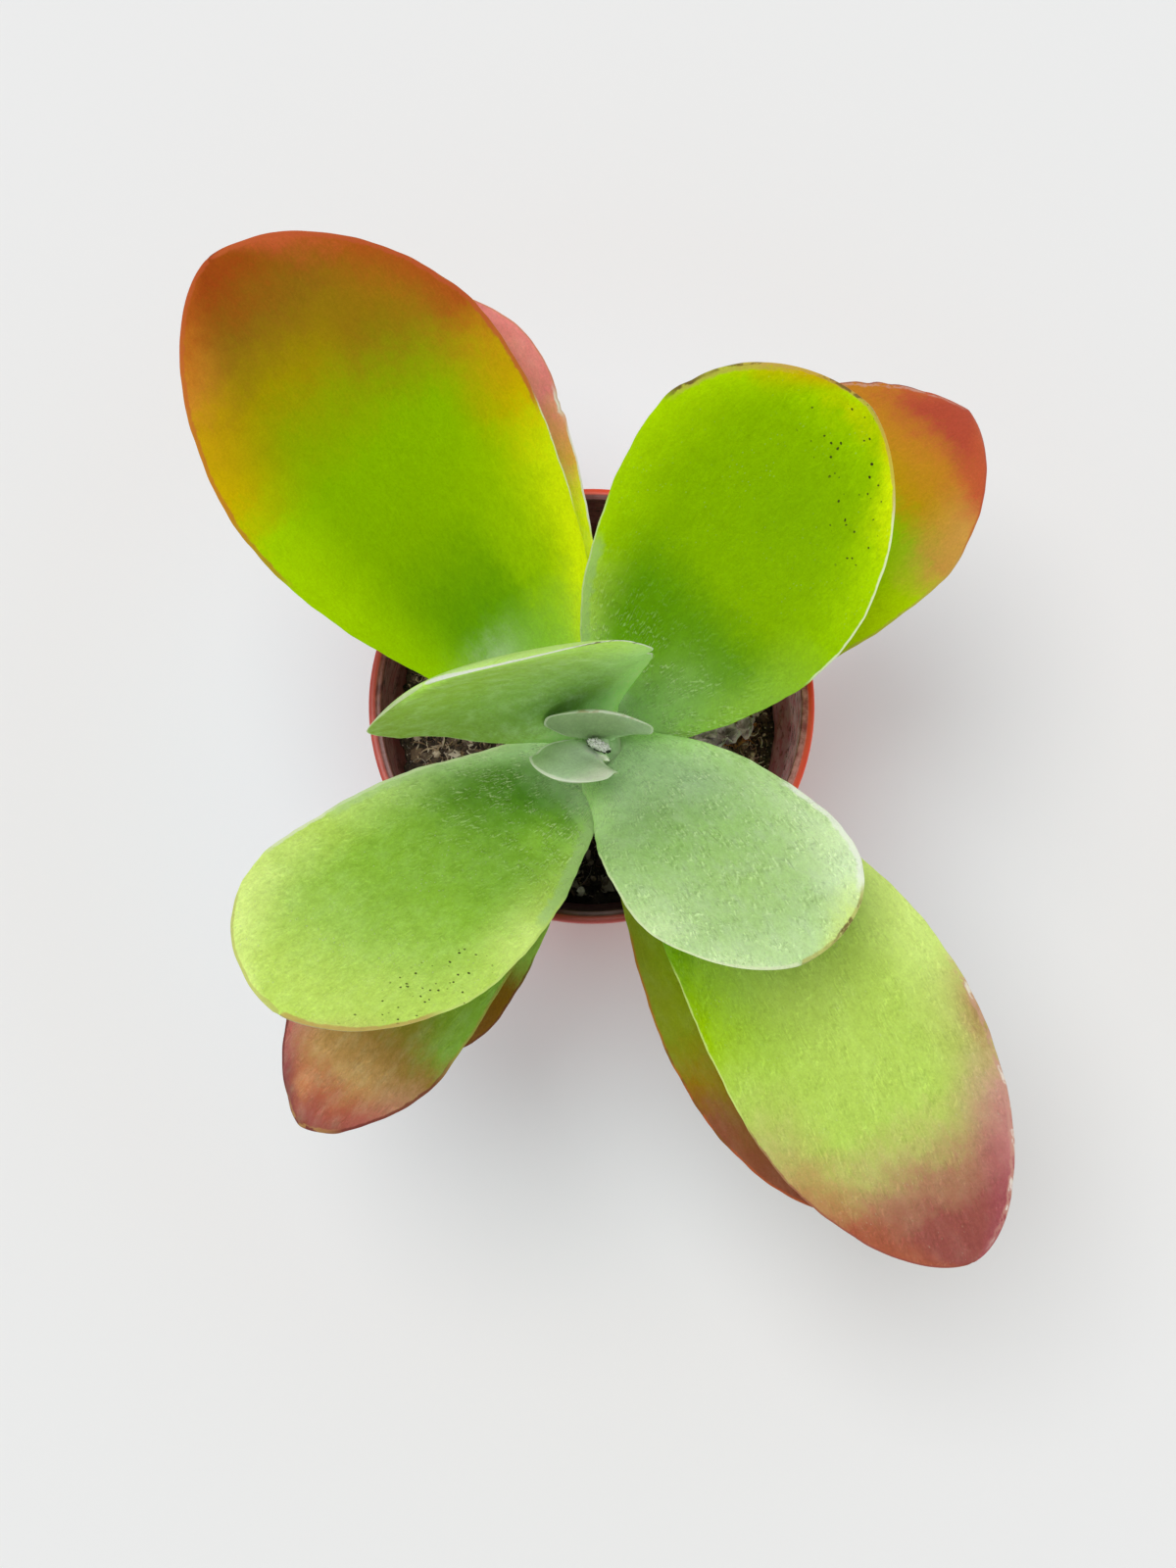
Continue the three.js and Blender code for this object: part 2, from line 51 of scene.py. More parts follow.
POT_HEIGHT = 88.0
RIM_RADIUS = 51.0
BASE_RADIUS = 36.0
POT_WALL = 1.2
POT_FLOOR = 1.6
LIP_WIDTH = 3.0
LIP_HEIGHT = 2.4
COLLAR_HEIGHT = 19.0
COLLAR_STEP = 3.0
DRAIN_RADIUS = 3.2
DRAIN_CIRCLE = 24.0
DRAIN_COUNT = 6

SOIL_SURFACE = 66.0
SOIL_BUMP = 0.7
SOIL_PILE_RISE = 4.5
SOIL_PILE_START = 8.0
SOIL_PILE_REACH = 28.0
SOIL_EDGE_DEPTH = 0.4
SOIL_EDGE_START = 36.0
SOIL_EDGE_REACH = 10.0
SOIL_EDGE_DIP = 1.2

STEM_FOOT = np.array([4.3, 0.5, 32.0])
STEM_TOP = np.array([1.5, -17.7, 123.0])
STEM_SOIL_RADIUS = 7.0
STEM_TOP_RADIUS = 3.6
STEM_NODE_SWELL = 0.5
STEM_TIP_RADIUS = 1.6
STEM_TIP_LENGTH = 8.0

# ---------------------------------------------------------------- pigments, as sRGB 0 to 255

PIGMENTS = {
    "pearl": (192, 186, 186),
    "pale_ash": (158, 172, 152),
    "ash": (144, 160, 130),
    "dim_ash": (112, 138, 92),
    "silver": (166, 184, 152),
    "frost": (154, 180, 138),
    "mist": (138, 166, 118),
    "sage": (124, 158, 76),
    "grey_green": (132, 162, 64),
    "dull_green": (120, 142, 62),
    "moss": (84, 120, 52),
    "deep_green": (80, 126, 34),
    "green": (98, 148, 6),
    "mid_green": (108, 154, 46),
    "leaf_green": (128, 170, 58),
    "fresh_green": (142, 184, 60),
    "soft_green": (160, 196, 84),
    "pale_sage": (158, 194, 120),
    "celadon": (170, 202, 134),
    "mint": (184, 214, 150),
    "pale_mint": (206, 230, 174),
    "milk": (218, 240, 192),
    "soft_lime": (182, 210, 94),
    "pale_lime": (206, 228, 126),
    "lime": (128, 170, 0),
    "acid_lime": (144, 188, 0),
    "bright_lime": (162, 202, 2),
    "sun_lime": (184, 216, 2),
    "yellow": (206, 224, 8),
    "olive": (136, 154, 2),
    "dark_olive": (122, 130, 30),
    "ochre": (150, 134, 4),
    "gold": (194, 166, 2),
    "amber": (184, 142, 14),
    "orange": (190, 122, 36),
    "umber": (134, 94, 18),
    "khaki": (146, 112, 56),
    "ember": (144, 58, 18),
    "brick": (164, 76, 26),
    "coral": (190, 84, 52),
    "red": (176, 70, 52),
    "tan": (182, 138, 88),
    "sand": (186, 184, 106),
    "apricot": (202, 148, 70),
    "salmon": (198, 132, 90),
    "rose": (196, 112, 110),
    "pink": (202, 152, 138),
    "dusk": (198, 130, 128),
    "clay": (172, 124, 96),
    "mauve": (168, 88, 84),
    "orchid": (162, 78, 90),
    "sienna": (166, 86, 66),
    "wine": (150, 76, 74),
    "deep_wine": (118, 50, 54),
    "rust": (128, 66, 52),
    "cream": (228, 238, 196),
    # The pale margin colour is partly a real pale edge and partly a painted rim highlight.
    "pale_margin_highlight": (246, 249, 238),
    "cork": (190, 152, 90),
    "scar": (104, 74, 46),
    "char": (46, 34, 24),
}

# ---------------------------------------------------------------- leaves
# A leaf's first values are its shape, as in the CAD model. Those from midrib on are its looks.
# Places on a leaf are given as s, from its root (0) to its tip (1), and t, from its right margin (-1) to its
# left margin (+1):
#   midrib, left, right   pigments along its middle and its two margins
#   spread                share of the half width where a margin's pigment starts
#   tone                  brightness of its pigments, raised for leaves that sit in shade: partly painted light
#   mottle, bloom         strength of the streaks of light and dark, and of the waxy bloom, on its face
#   washes                soft patches: s, t, reach along, reach across, pigment, strength
#   folds                 strength of the fine folds all over, that of those at its root, how far these reach,
#                         and the strength of the glint dots; both add painted highlights and shade to a bump
#   margins               lines along a margin: side (+1 left, -1 right, 0 both), from s, to s, width in
#                         millimetres, pigment, strength, share left out by chance
#   nicks                 cuts in its margin: side, s, reach in millimetres, depth in millimetres
#   specks                where small dark specks lie: s, t, reach along, reach across
# The usual values stand for those that a leaf doesn't give itself.

USUAL = dict(base=9, reach=6, thick=4.6, wave=0.6, skew=0, curl=0, spread=0.4, bloom=0.0,
             washes=(), nicks=(), specks=())

LEAVES = [
    dict(USUAL, name="leaf_1_north", azimuth=92, height=122, length=18, width=23, rise=88, tip=82, sweep=-1,
        roll=-6, cup=12, widest=0.6, blunt=2.8, base=3.5, reach=2, thick=1.7, wave=0.15,
        midrib=[(0, "dim_ash"), (1, "ash")], left=[(0, "ash")], right=[(0, "pale_ash")], spread=0.1,
        tone=1.65, mottle=0.4, bloom=0.1, folds=(0.1, 0, 1, 0),
        margins=[(0, 0.1, 1.1, 0.5, "pale_margin_highlight", 0.85, 0.2), (0, 0.75, 1.1, 0.4, "cork", 0.6, 0.55)],
        nicks=[(-1, 0.93, 1.4, 0.9)]),
    dict(USUAL, name="leaf_1_southwest", azimuth=231, height=122, length=20, width=18, rise=60, tip=48,
        sweep=-1, roll=25, cup=10, widest=0.6, blunt=2.4, base=4, reach=2, thick=1.7, wave=0.15,
        midrib=[(0, "pale_ash")], left=[(0, "pearl")], right=[(0, "dim_ash"), (1, "ash")], spread=0.1,
        tone=1.95, mottle=0.4, bloom=0.1, folds=(0.1, 0, 1, 0),
        margins=[(0, 0.0, 1.1, 0.55, "pale_margin_highlight", 0.9, 0.1)],
        nicks=[(1, 0.1, 2.6, 1.8), (1, 0.34, 2.6, -1.0), (-1, 0.6, 1.5, 0.3)]),
    dict(USUAL, name="leaf_2_northwest", azimuth=122.5, height=116, length=78.5, width=57, rise=81,
        tip=84.5, sweep=45.4, roll=-18.9, cup=13, widest=0.65, blunt=2.72, skew=0.05, base=8, thick=3,
        wave=0.3,
        midrib=[(0.1, "mist"), (0.25, "sage"), (0.5, "sage"), (0.8, "grey_green"), (0.94, "grey_green"),
                (1, "soft_green")],
        left=[(0, "sage"), (0.6, "dull_green")], right=[(0.5, "pale_sage"), (0.7, "soft_green")],
        spread=0.3, tone=1.86, mottle=0.4, bloom=0.3, folds=(0.25, 0.2, 0.6, 0),
        # The moss wash at s 0.3 is a painted shadow of leaf_1_north falling on this leaf.
        washes=[(0.3, 0.1, 0.12, 0.6, "moss", 0.9), (0.06, 0, 0.08, 1, "frost", 0.8)],
        margins=[(-1, 0.3, 1.1, 0.35, "pale_margin_highlight", 0.9, 0.0),
                 (-1, 0.84, 1.0, 0.45, "pale_margin_highlight", 0.9, 0.25), (-1, 0.6, 0.82, 0.6, "scar", 0.9, 0.5),
                 (1, 0.3, 1.1, 0.35, "cream", 0.5, 0.3)],
        nicks=[(-1, 0.43, 13, 2.6), (-1, 0.43, 4, 1.5)]),
    dict(USUAL, name="leaf_2_southeast", azimuth=-46, height=115, length=76, width=50, rise=50, tip=27,
        sweep=-14, roll=-26, cup=12, widest=0.7, blunt=1.9, skew=-0.02, base=10, thick=3.6, wave=0.3,
        midrib=[(0.3, "frost"), (0.5, "pale_sage"), (0.7, "celadon"), (0.86, "celadon"), (0.94, "mint")],
        left=[(0.3, "pale_sage"), (0.5, "mint"), (0.65, "pale_mint"), (0.8, "milk"), (0.92, "pale_lime")],
        right=[(0.6, "celadon"), (0.78, "pale_mint"), (0.86, "mint"), (1, "pale_mint")], spread=0.35,
        tone=1.15, mottle=0.6, bloom=0.45, folds=(0.75, 0.65, 1.4, 0.3),
        washes=[(0.35, -0.2, 0.15, 0.4, "leaf_green", 0.35), (0.7, 0.0, 0.12, 0.3, "fresh_green", 0.25)],
        margins=[(1, 0.45, 0.85, 1.5, "pale_margin_highlight", 0.7, 0.3), (1, 0.86, 1.1, 0.7, "sand", 0.8, 0.1),
                 (1, 0.9, 0.97, 0.8, "scar", 0.8, 0.5), (-1, 0.4, 1.1, 0.45, "cream", 0.7, 0.2)]),
    dict(USUAL, name="leaf_3_northeast", azimuth=52, height=108, length=99, width=61, rise=61, tip=32.5,
        sweep=-10, roll=-5, cup=22, widest=0.68, blunt=1.8, skew=0.06, base=10, thick=4.2, wave=0.5,
        curl=2.5,
        midrib=[(0.08, "mid_green"), (0.26, "green"), (0.4, "green"), (0.52, "lime"), (0.86, "lime"),
                (0.95, "acid_lime"), (1, "bright_lime")],
        left=[(0.1, "pale_sage"), (0.26, "soft_lime"), (0.42, "bright_lime"), (0.86, "bright_lime"),
              (0.94, "gold"), (1, "amber")],
        right=[(0.15, "leaf_green"), (0.4, "fresh_green"), (0.6, "acid_lime"), (0.8, "bright_lime"),
               (0.93, "yellow"), (1, "gold")],
        spread=0.5, tone=1.15, mottle=0.4, folds=(0.15, 1.0, 0.55, 0.15),
        washes=[(0.03, 0, 0.11, 1.0, "silver", 0.95), (0.2, -0.5, 0.12, 0.4, "pale_sage", 0.6),
                (0.4, 0.25, 0.1, 0.3, "green", 0.4), (0.75, -0.1, 0.12, 0.4, "green", 0.25),
                (0.97, 0.0, 0.03, 1.0, "gold", 0.3)],
        margins=[(-1, 0.52, 0.92, 0.4, "cream", 0.9, 0.0), (1, 0.05, 0.42, 2.2, "celadon", 0.6, 0.3),
                 (1, 0.1, 0.5, 0.35, "cream", 0.5, 0.3), (1, 0.77, 0.93, 1.4, "cork", 0.55, 0.3),
                 (0, 0.9, 1.1, 0.6, "cork", 0.6, 0.3), (1, 0.76, 0.82, 0.8, "scar", 0.9, 0.42),
                 (1, 0.84, 1.1, 0.5, "scar", 0.8, 0.55)],
        nicks=[(1, 0.8, 1.6, 0.4)], specks=[(0.93, -0.1, 0.08, 0.5), (0.84, -0.55, 0.1, 0.3)]),
    dict(USUAL, name="leaf_3_southwest", azimuth=225, height=107, length=111.5, width=52.5, rise=44, tip=41,
        sweep=5, roll=13.5, cup=14, widest=0.67, blunt=2.1, skew=-0.02, base=10, thick=4.2, wave=0.5,
        midrib=[(0.1, "mist"), (0.2, "deep_green"), (0.3, "mid_green"), (0.42, "leaf_green"),
                (0.6, "fresh_green"), (0.78, "soft_green"), (0.93, "soft_lime")],
        left=[(0.1, "pale_sage"), (0.24, "soft_green"), (0.4, "soft_lime"), (0.55, "pale_lime"),
              (0.7, "soft_lime"), (0.9, "soft_lime"), (1, "sand")],
        right=[(0.1, "frost"), (0.3, "pale_sage"), (0.6, "soft_lime"), (0.8, "pale_lime")], spread=0.45,
        tone=1.2, mottle=0.6, bloom=0.1, folds=(0.3, 1.1, 0.7, 0.7),
        washes=[(0.3, 0.45, 0.1, 0.25, "fresh_green", 0.8), (0.28, -0.45, 0.1, 0.3, "deep_green", 0.6),
                (0.05, 0.2, 0.08, 0.9, "silver", 0.9), (0.62, -0.1, 0.12, 0.3, "leaf_green", 0.35),
                (0.85, 0.5, 0.1, 0.3, "soft_lime", 0.6)],
        margins=[(-1, 0.05, 0.72, 0.8, "cream", 0.9, 0.1), (-1, 0.1, 0.55, 2.4, "mint", 0.5, 0.2),
                 (1, 0.0, 0.5, 2.6, "mint", 0.65, 0.3), (1, 0.4, 0.9, 0.5, "pale_lime", 0.8, 0.2),
                 (1, 0.84, 1.1, 0.8, "cork", 0.75, 0.2), (-1, 0.85, 1.1, 0.5, "sand", 0.7, 0.2)],
        nicks=[(-1, 0.972, 1.5, 0.5), (1, 0.985, 1.6, 0.5)], specks=[(0.8, 0.75, 0.15, 0.25)]),
    dict(USUAL, name="leaf_4_northwest", azimuth=128, height=101, length=129.5, width=71.5, rise=38,
        tip=15.5, sweep=7.5, roll=7.5, cup=16, widest=0.65, blunt=1.68, skew=-0.02, thick=4.8,
        midrib=[(0.15, "leaf_green"), (0.28, "green"), (0.46, "lime"), (0.6, "lime"), (0.7, "olive"),
                (0.78, "ochre"), (0.87, "umber"), (0.97, "ember")],
        left=[(0.25, "acid_lime"), (0.45, "bright_lime"), (0.6, "bright_lime"), (0.7, "gold"),
              (0.8, "amber"), (0.86, "orange"), (0.94, "brick")],
        right=[(0.42, "yellow"), (0.52, "gold"), (0.6, "amber"), (0.7, "brick"), (0.86, "brick"),
               (0.95, "coral")],
        tone=1.15, mottle=0.25, folds=(0.12, 0.2, 0.35, 0),
        washes=[(0.32, -0.45, 0.16, 0.25, "sun_lime", 0.4), (0.2, 0.45, 0.04, 0.3, "silver", 0.5),
                (0.76, -0.45, 0.1, 0.35, "umber", 0.75)],
        margins=[(-1, 0.34, 0.52, 0.3, "cream", 0.8, 0.35), (-1, 0.5, 1.1, 1.1, "coral", 0.8, 0.1),
                 (1, 0.55, 1.1, 0.9, "coral", 0.6, 0.25)],
        nicks=[(-1, 0.985, 1.4, 0.6)]),
    dict(USUAL, name="leaf_4_southeast", azimuth=-47.5, height=100, length=133.5, width=55, rise=28, tip=-5,
        sweep=-18, roll=14, cup=10, widest=0.64, blunt=1.76, skew=-0.04, thick=4.8,
        # Its pigments near s 0.5 are lightened: painted light against the shadow that leaf_2_southeast casts
        # on it.
        midrib=[(0.3, "green"), (0.4, "soft_green"), (0.5, "soft_lime"), (0.74, "soft_lime"), (0.8, "sand"),
                (0.86, "clay"), (0.93, "wine")],
        left=[(0.58, "pale_lime"), (0.71, "sand"), (0.79, "pink"), (0.86, "dusk"), (0.92, "orchid")],
        right=[(0.3, "green"), (0.4, "acid_lime"), (0.5, "bright_lime"), (0.6, "soft_lime"), (0.7, "sand"),
               (0.8, "tan"), (0.88, "sienna")],
        tone=1.03, mottle=0.5, bloom=0.06, folds=(0.45, 0.2, 0.6, 0.3),
        washes=[(0.5, -0.6, 0.14, 0.3, "acid_lime", 0.4), (0.68, 0.98, 0.05, 0.12, "mauve", 0.6),
                (0.86, 0.75, 0.07, 0.2, "orchid", 0.5)],
        margins=[(-1, 0.36, 0.62, 0.4, "pale_lime", 0.9, 0.1), (1, 0.62, 0.97, 1.0, "pink", 0.7, 0.45),
                 (1, 0.62, 0.97, 0.7, "pale_margin_highlight", 0.6, 0.6), (-1, 0.66, 1.1, 0.4, "wine", 0.7, 0.2)]),
    dict(USUAL, name="leaf_5_northeast", azimuth=43.7, height=94, length=107.5, width=57, rise=30,
        tip=-10.5, sweep=-4, roll=-11.4, cup=14, widest=0.7, blunt=1.5, skew=0.02,
        midrib=[(0.67, "acid_lime"), (0.76, "amber"), (0.85, "orange"), (0.92, "red")],
        left=[(0.5, "acid_lime"), (0.78, "orange"), (0.88, "orange"), (0.95, "coral")],
        right=[(0.6, "sun_lime"), (0.7, "apricot"), (0.78, "apricot"), (0.86, "coral")], tone=1.06,
        mottle=0.2, folds=(0.15, 0.2, 0.4, 0),
        margins=[(1, 0.84, 0.98, 1.2, "pink", 0.8, 0.45), (1, 0.84, 0.98, 0.4, "char", 0.8, 0.45),
                 (-1, 0.3, 0.75, 0.5, "cork", 0.5, 0.3), (0, 0.75, 1.1, 0.4, "red", 0.5, 0.2)],
        nicks=[(1, 0.877, 1.2, 0.7), (1, 0.911, 1.0, 0.5), (1, 0.955, 1.0, 0.5)]),
    dict(USUAL, name="leaf_5_southwest", azimuth=231, height=93, length=103.5, width=41.5, rise=26,
        tip=-9.5, sweep=3.7, roll=14.2, cup=12, widest=0.71, blunt=1.6, skew=0.04,
        midrib=[(0.5, "fresh_green"), (0.66, "dark_olive"), (0.76, "khaki"), (0.86, "tan"),
                (0.92, "sienna"), (0.97, "wine"), (1, "rust")],
        left=[(0.5, "fresh_green"), (0.7, "leaf_green"), (0.78, "khaki"), (0.83, "clay"), (0.9, "mauve"),
              (1, "rust")],
        right=[(0.6, "khaki"), (0.75, "dusk"), (0.86, "mauve"), (0.93, "orchid"), (1, "deep_wine")],
        tone=1.15, mottle=0.5, bloom=0.15, folds=(0.45, 0.2, 0.4, 0),
        washes=[(0.95, -0.8, 0.05, 0.3, "deep_wine", 0.8), (0.74, -0.9, 0.08, 0.4, "mauve", 0.5),
                (0.925, -0.4, 0.03, 0.25, "salmon", 0.7)],
        margins=[(0, 0.72, 1.1, 0.6, "deep_wine", 0.9, 0.1), (1, 0.3, 0.75, 0.5, "cork", 0.5, 0.3),
                 (0, 0.97, 1.1, 0.9, "cork", 0.6, 0.5)],
        nicks=[(1, 0.965, 1.6, -0.5), (-1, 0.97, 1.4, 0.5)]),
    dict(USUAL, name="leaf_6_northwest", azimuth=126, height=88, length=109, width=66, rise=30, tip=25.5,
        sweep=-6, roll=6, cup=14, widest=0.71, blunt=1.81, skew=-0.02,
        midrib=[(0.2, "acid_lime"), (0.5, "olive"), (0.8, "salmon"), (1, "rose")],
        left=[(0.2, "acid_lime"), (0.5, "gold"), (0.8, "salmon"), (1, "rose")],
        right=[(0.4, "yellow"), (0.5, "apricot"), (0.58, "salmon"), (0.66, "rose")], tone=1.6, mottle=0.35,
        bloom=0.1, folds=(0.1, 0.2, 0.4, 0),
        margins=[(-1, 0.36, 0.56, 0.5, "pale_margin_highlight", 0.9, 0.1),
                 (-1, 0.6, 0.64, 1.0, "pale_margin_highlight", 0.9, 0.3), (0, 0.6, 1.1, 0.4, "salmon", 0.5, 0.3)],
        nicks=[(-1, 0.627, 1.2, 0.5), (-1, 0.604, 1.0, 0.5)]),
    dict(USUAL, name="leaf_6_southeast", azimuth=-52.5, height=87, length=119, width=62, rise=20, tip=-16.5,
        sweep=-7.5, roll=10, cup=12, widest=0.63, blunt=2.02,
        midrib=[(0.2, "green"), (0.5, "olive"), (0.75, "umber"), (1, "rust")],
        left=[(0.2, "leaf_green"), (0.5, "olive"), (0.75, "umber"), (1, "rust")],
        right=[(0.5, "dark_olive"), (0.6, "umber"), (0.67, "rust")], tone=1.2, mottle=0.3, bloom=0.05,
        folds=(0.2, 0.2, 0.4, 0),
        margins=[(-1, 0.3, 0.9, 0.5, "coral", 0.6, 0.3), (-1, 0.5, 0.8, 0.6, "scar", 0.6, 0.5)]),
    dict(USUAL, name="leaf_7_southwest", azimuth=223.5, height=83.5, length=88, width=50.5, rise=26,
        tip=-22.5, sweep=13.5, roll=-11, cup=10, widest=0.66, blunt=1.72, skew=0.04, thick=4.2,
        midrib=[(0.3, "dark_olive"), (0.6, "umber"), (1, "rust")],
        left=[(0.3, "leaf_green"), (0.5, "soft_green"), (0.6, "umber"), (1, "rust")],
        right=[(0.3, "dark_olive"), (0.6, "umber"), (1, "rust")], tone=1.2, mottle=0.3, bloom=0.05,
        folds=(0.2, 0.2, 0.4, 0), margins=[(0, 0.5, 1.1, 0.5, "deep_wine", 0.7, 0.2)]),
]

WITHERED = dict(USUAL, name="withered_leaf", azimuth=14, height=80.5, length=33, width=15.5, rise=-30,
                tip=-6, sweep=2, roll=-6, cup=70, widest=0.6, blunt=1.7, base=4, thick=1.3, wave=1.1)

# Scraps of dead leaf and a twig on the soil: a leaf's own shape, then the dark, light and edge colours of its
# skin and the width of its edge.
SCRAPS = [
    dict(USUAL, name="scrap_membrane", azimuth=6, height=66.5, length=13, width=7, rise=28, tip=-34,
        sweep=10, roll=30, cup=60, widest=0.5, blunt=1.6, base=1.5, reach=25, thick=0.6, wave=0.5,
        skin=((66, 44, 28), (150, 112, 70), (214, 160, 92), 0.9)),
    dict(USUAL, name="scrap_grey", azimuth=-8, height=67.5, length=11, width=8, rise=14, tip=-20, sweep=-20,
        roll=-20, cup=70, widest=0.5, blunt=1.7, base=2, reach=19, thick=0.6, wave=0.8,
        skin=((64, 58, 54), (150, 142, 134), (232, 226, 216), 0.8)),
    dict(USUAL, name="scrap_west", azimuth=172, height=66.5, length=12, width=6, rise=12, tip=-14, sweep=20,
        roll=15, cup=60, widest=0.5, blunt=1.7, base=2, reach=24, thick=0.6,
        skin=((84, 76, 68), (150, 142, 130), (206, 198, 184), 0.7)),
    dict(USUAL, name="scrap_tan", azimuth=200, height=67, length=10, width=6, rise=10, tip=-10, sweep=-10,
        roll=0, cup=50, widest=0.5, blunt=1.7, base=2, reach=14, thick=0.6, wave=0.5,
        skin=((132, 112, 84), (196, 176, 142), (222, 208, 178), 0.6)),
    dict(USUAL, name="twig_east", azimuth=12, height=66.5, length=15, width=1.4, rise=24, tip=6, sweep=12,
        roll=0, cup=40, widest=0.5, blunt=1.5, base=0.5, reach=27, thick=1.1, wave=0.1,
        skin=((88, 52, 34), (150, 100, 66), (170, 120, 84), 0.3)),
]

# The leaf's form, as in the CAD model.
WAVES_PER_LEAF = 2.5
WIDENING = 1.3
ROLL_END = 0.6
WAVE_START = 0.3
CURL_START = 0.55
ROOT_FLESH = 1.12
TIP_FLESH = 0.85
CENTRE_STEPS = 24

# The fine mesh and the patterns on it.
BLADE_ROWS = 170
BLADE_COLUMNS = 52
ROW_CROWDING = 1.6
ROOT_START = -0.08
MARGIN_UNEVENNESS = 0.07
PATTERN_SPACING = 1.7
PATTERN_DEPTH = 3.0
ROOT_PAINTED_LIGHT = 0.5


# ---------------------------------------------------------------- meshes

def smooth(x):
    c = np.clip(x, 0, 1)
    return c * c * (3 - 2 * c)


def make_mesh(name, points_mm, faces, attributes=None, smooth_shading=True):
    """A mesh of points in millimetres. An attribute holds a number or a vector for each point."""
    mesh = bpy.data.meshes.new(name)
    mesh.from_pydata((np.asarray(points_mm, float) * MM).tolist(), [], faces)
    for key, values in (attributes or {}).items():
        values = np.asarray(values, np.float32)
        kind, field = ("FLOAT_VECTOR", "vector") if values.ndim == 2 else ("FLOAT", "value")
        mesh.attributes.new(key, kind, "POINT").data.foreach_set(field, values.ravel())
    mesh.polygons.foreach_set("use_smooth", [smooth_shading] * len(mesh.polygons))
    mesh.update()
    obj = bpy.data.objects.new(name, mesh)
    bpy.context.scene.collection.objects.link(obj)
    return obj


def ring(radius, height, sides):
    """Points round the Z axis. The radius and the height are one number, or one for each point."""
    angles = np.arange(sides) * (2 * np.pi / sides)
    return np.stack([radius * np.cos(angles), radius * np.sin(angles), np.full(sides, height)], 1)


def grid_faces(numbers):
    """The faces between the points whose numbers stand in a grid."""
    corners = [numbers[:-1, :-1], numbers[1:, :-1], numbers[1:, 1:], numbers[:-1, 1:]]
    return np.stack(corners, -1).reshape(-1, 4).tolist()


def tube_faces(rings, sides, first=0, downwards=False):
    """The faces between rings of points that follow one another up, or down, the outside of a shape."""
    numbers = first + np.arange(rings * sides).reshape(rings, sides)
    numbers = np.hstack([numbers, numbers[:, :1]])
    return grid_faces(numbers if downwards else numbers.T)


def closed_mesh(name, start, rings, end, downwards=False):
    """A closed mesh from a point, through rings of points up or down its outside, to a point."""
    sides = len(rings[0])
    points = np.concatenate([[start], *rings, [end]])
    faces = tube_faces(len(rings), sides, 1, downwards)
    last = len(points) - 1
    for side in range(sides):
        following = (side + 1) % sides
        fans = [(0, 1 + following, 1 + side), (last - sides + side, last - sides + following, last)]
        faces += [fan[::-1] for fan in fans] if downwards else fans
    return make_mesh(name, points, faces)


def lathe(profile, sides, name):
    """A closed mesh turned round Z from a profile of (radius, height) that starts and ends on the axis."""
    rings = [ring(radius, height, sides) for radius, height in profile[1:-1]]
    return closed_mesh(name, (0, 0, profile[0][1]), rings, (0, 0, profile[-1][1]))


def ellipsoid(radii, rows, columns):
    """Points and faces of an ellipsoid round the origin, with a ring of points at each height."""
    polar = np.pi * (np.arange(rows + 1) + 0.02) / (rows + 0.04)
    rings = [ring(math.sin(angle), math.cos(angle), columns) for angle in polar]
    faces = tube_faces(rows + 1, columns, 0, downwards=True)
    faces.append(list(range(columns)))
    faces.append(list(reversed(range(rows * columns, (rows + 1) * columns))))
    return np.concatenate(rings) * radii, faces


def finish_piece(obj, slot, *nodes):
    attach(obj, "root")
    if nodes:
        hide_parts(*nodes)


# ---------------------------------------------------------------- node graphs

def linear(pigment):
    """A pigment's name, or an sRGB colour of 0 to 255, as the linear colour that shaders take."""
    rgb = PIGMENTS[pigment] if isinstance(pigment, str) else pigment
    channels = [c / 255 for c in rgb]
    return [c / 12.92 if c <= 0.04045 else ((c + 0.055) / 1.055) ** 2.4 for c in channels] + [1.0]


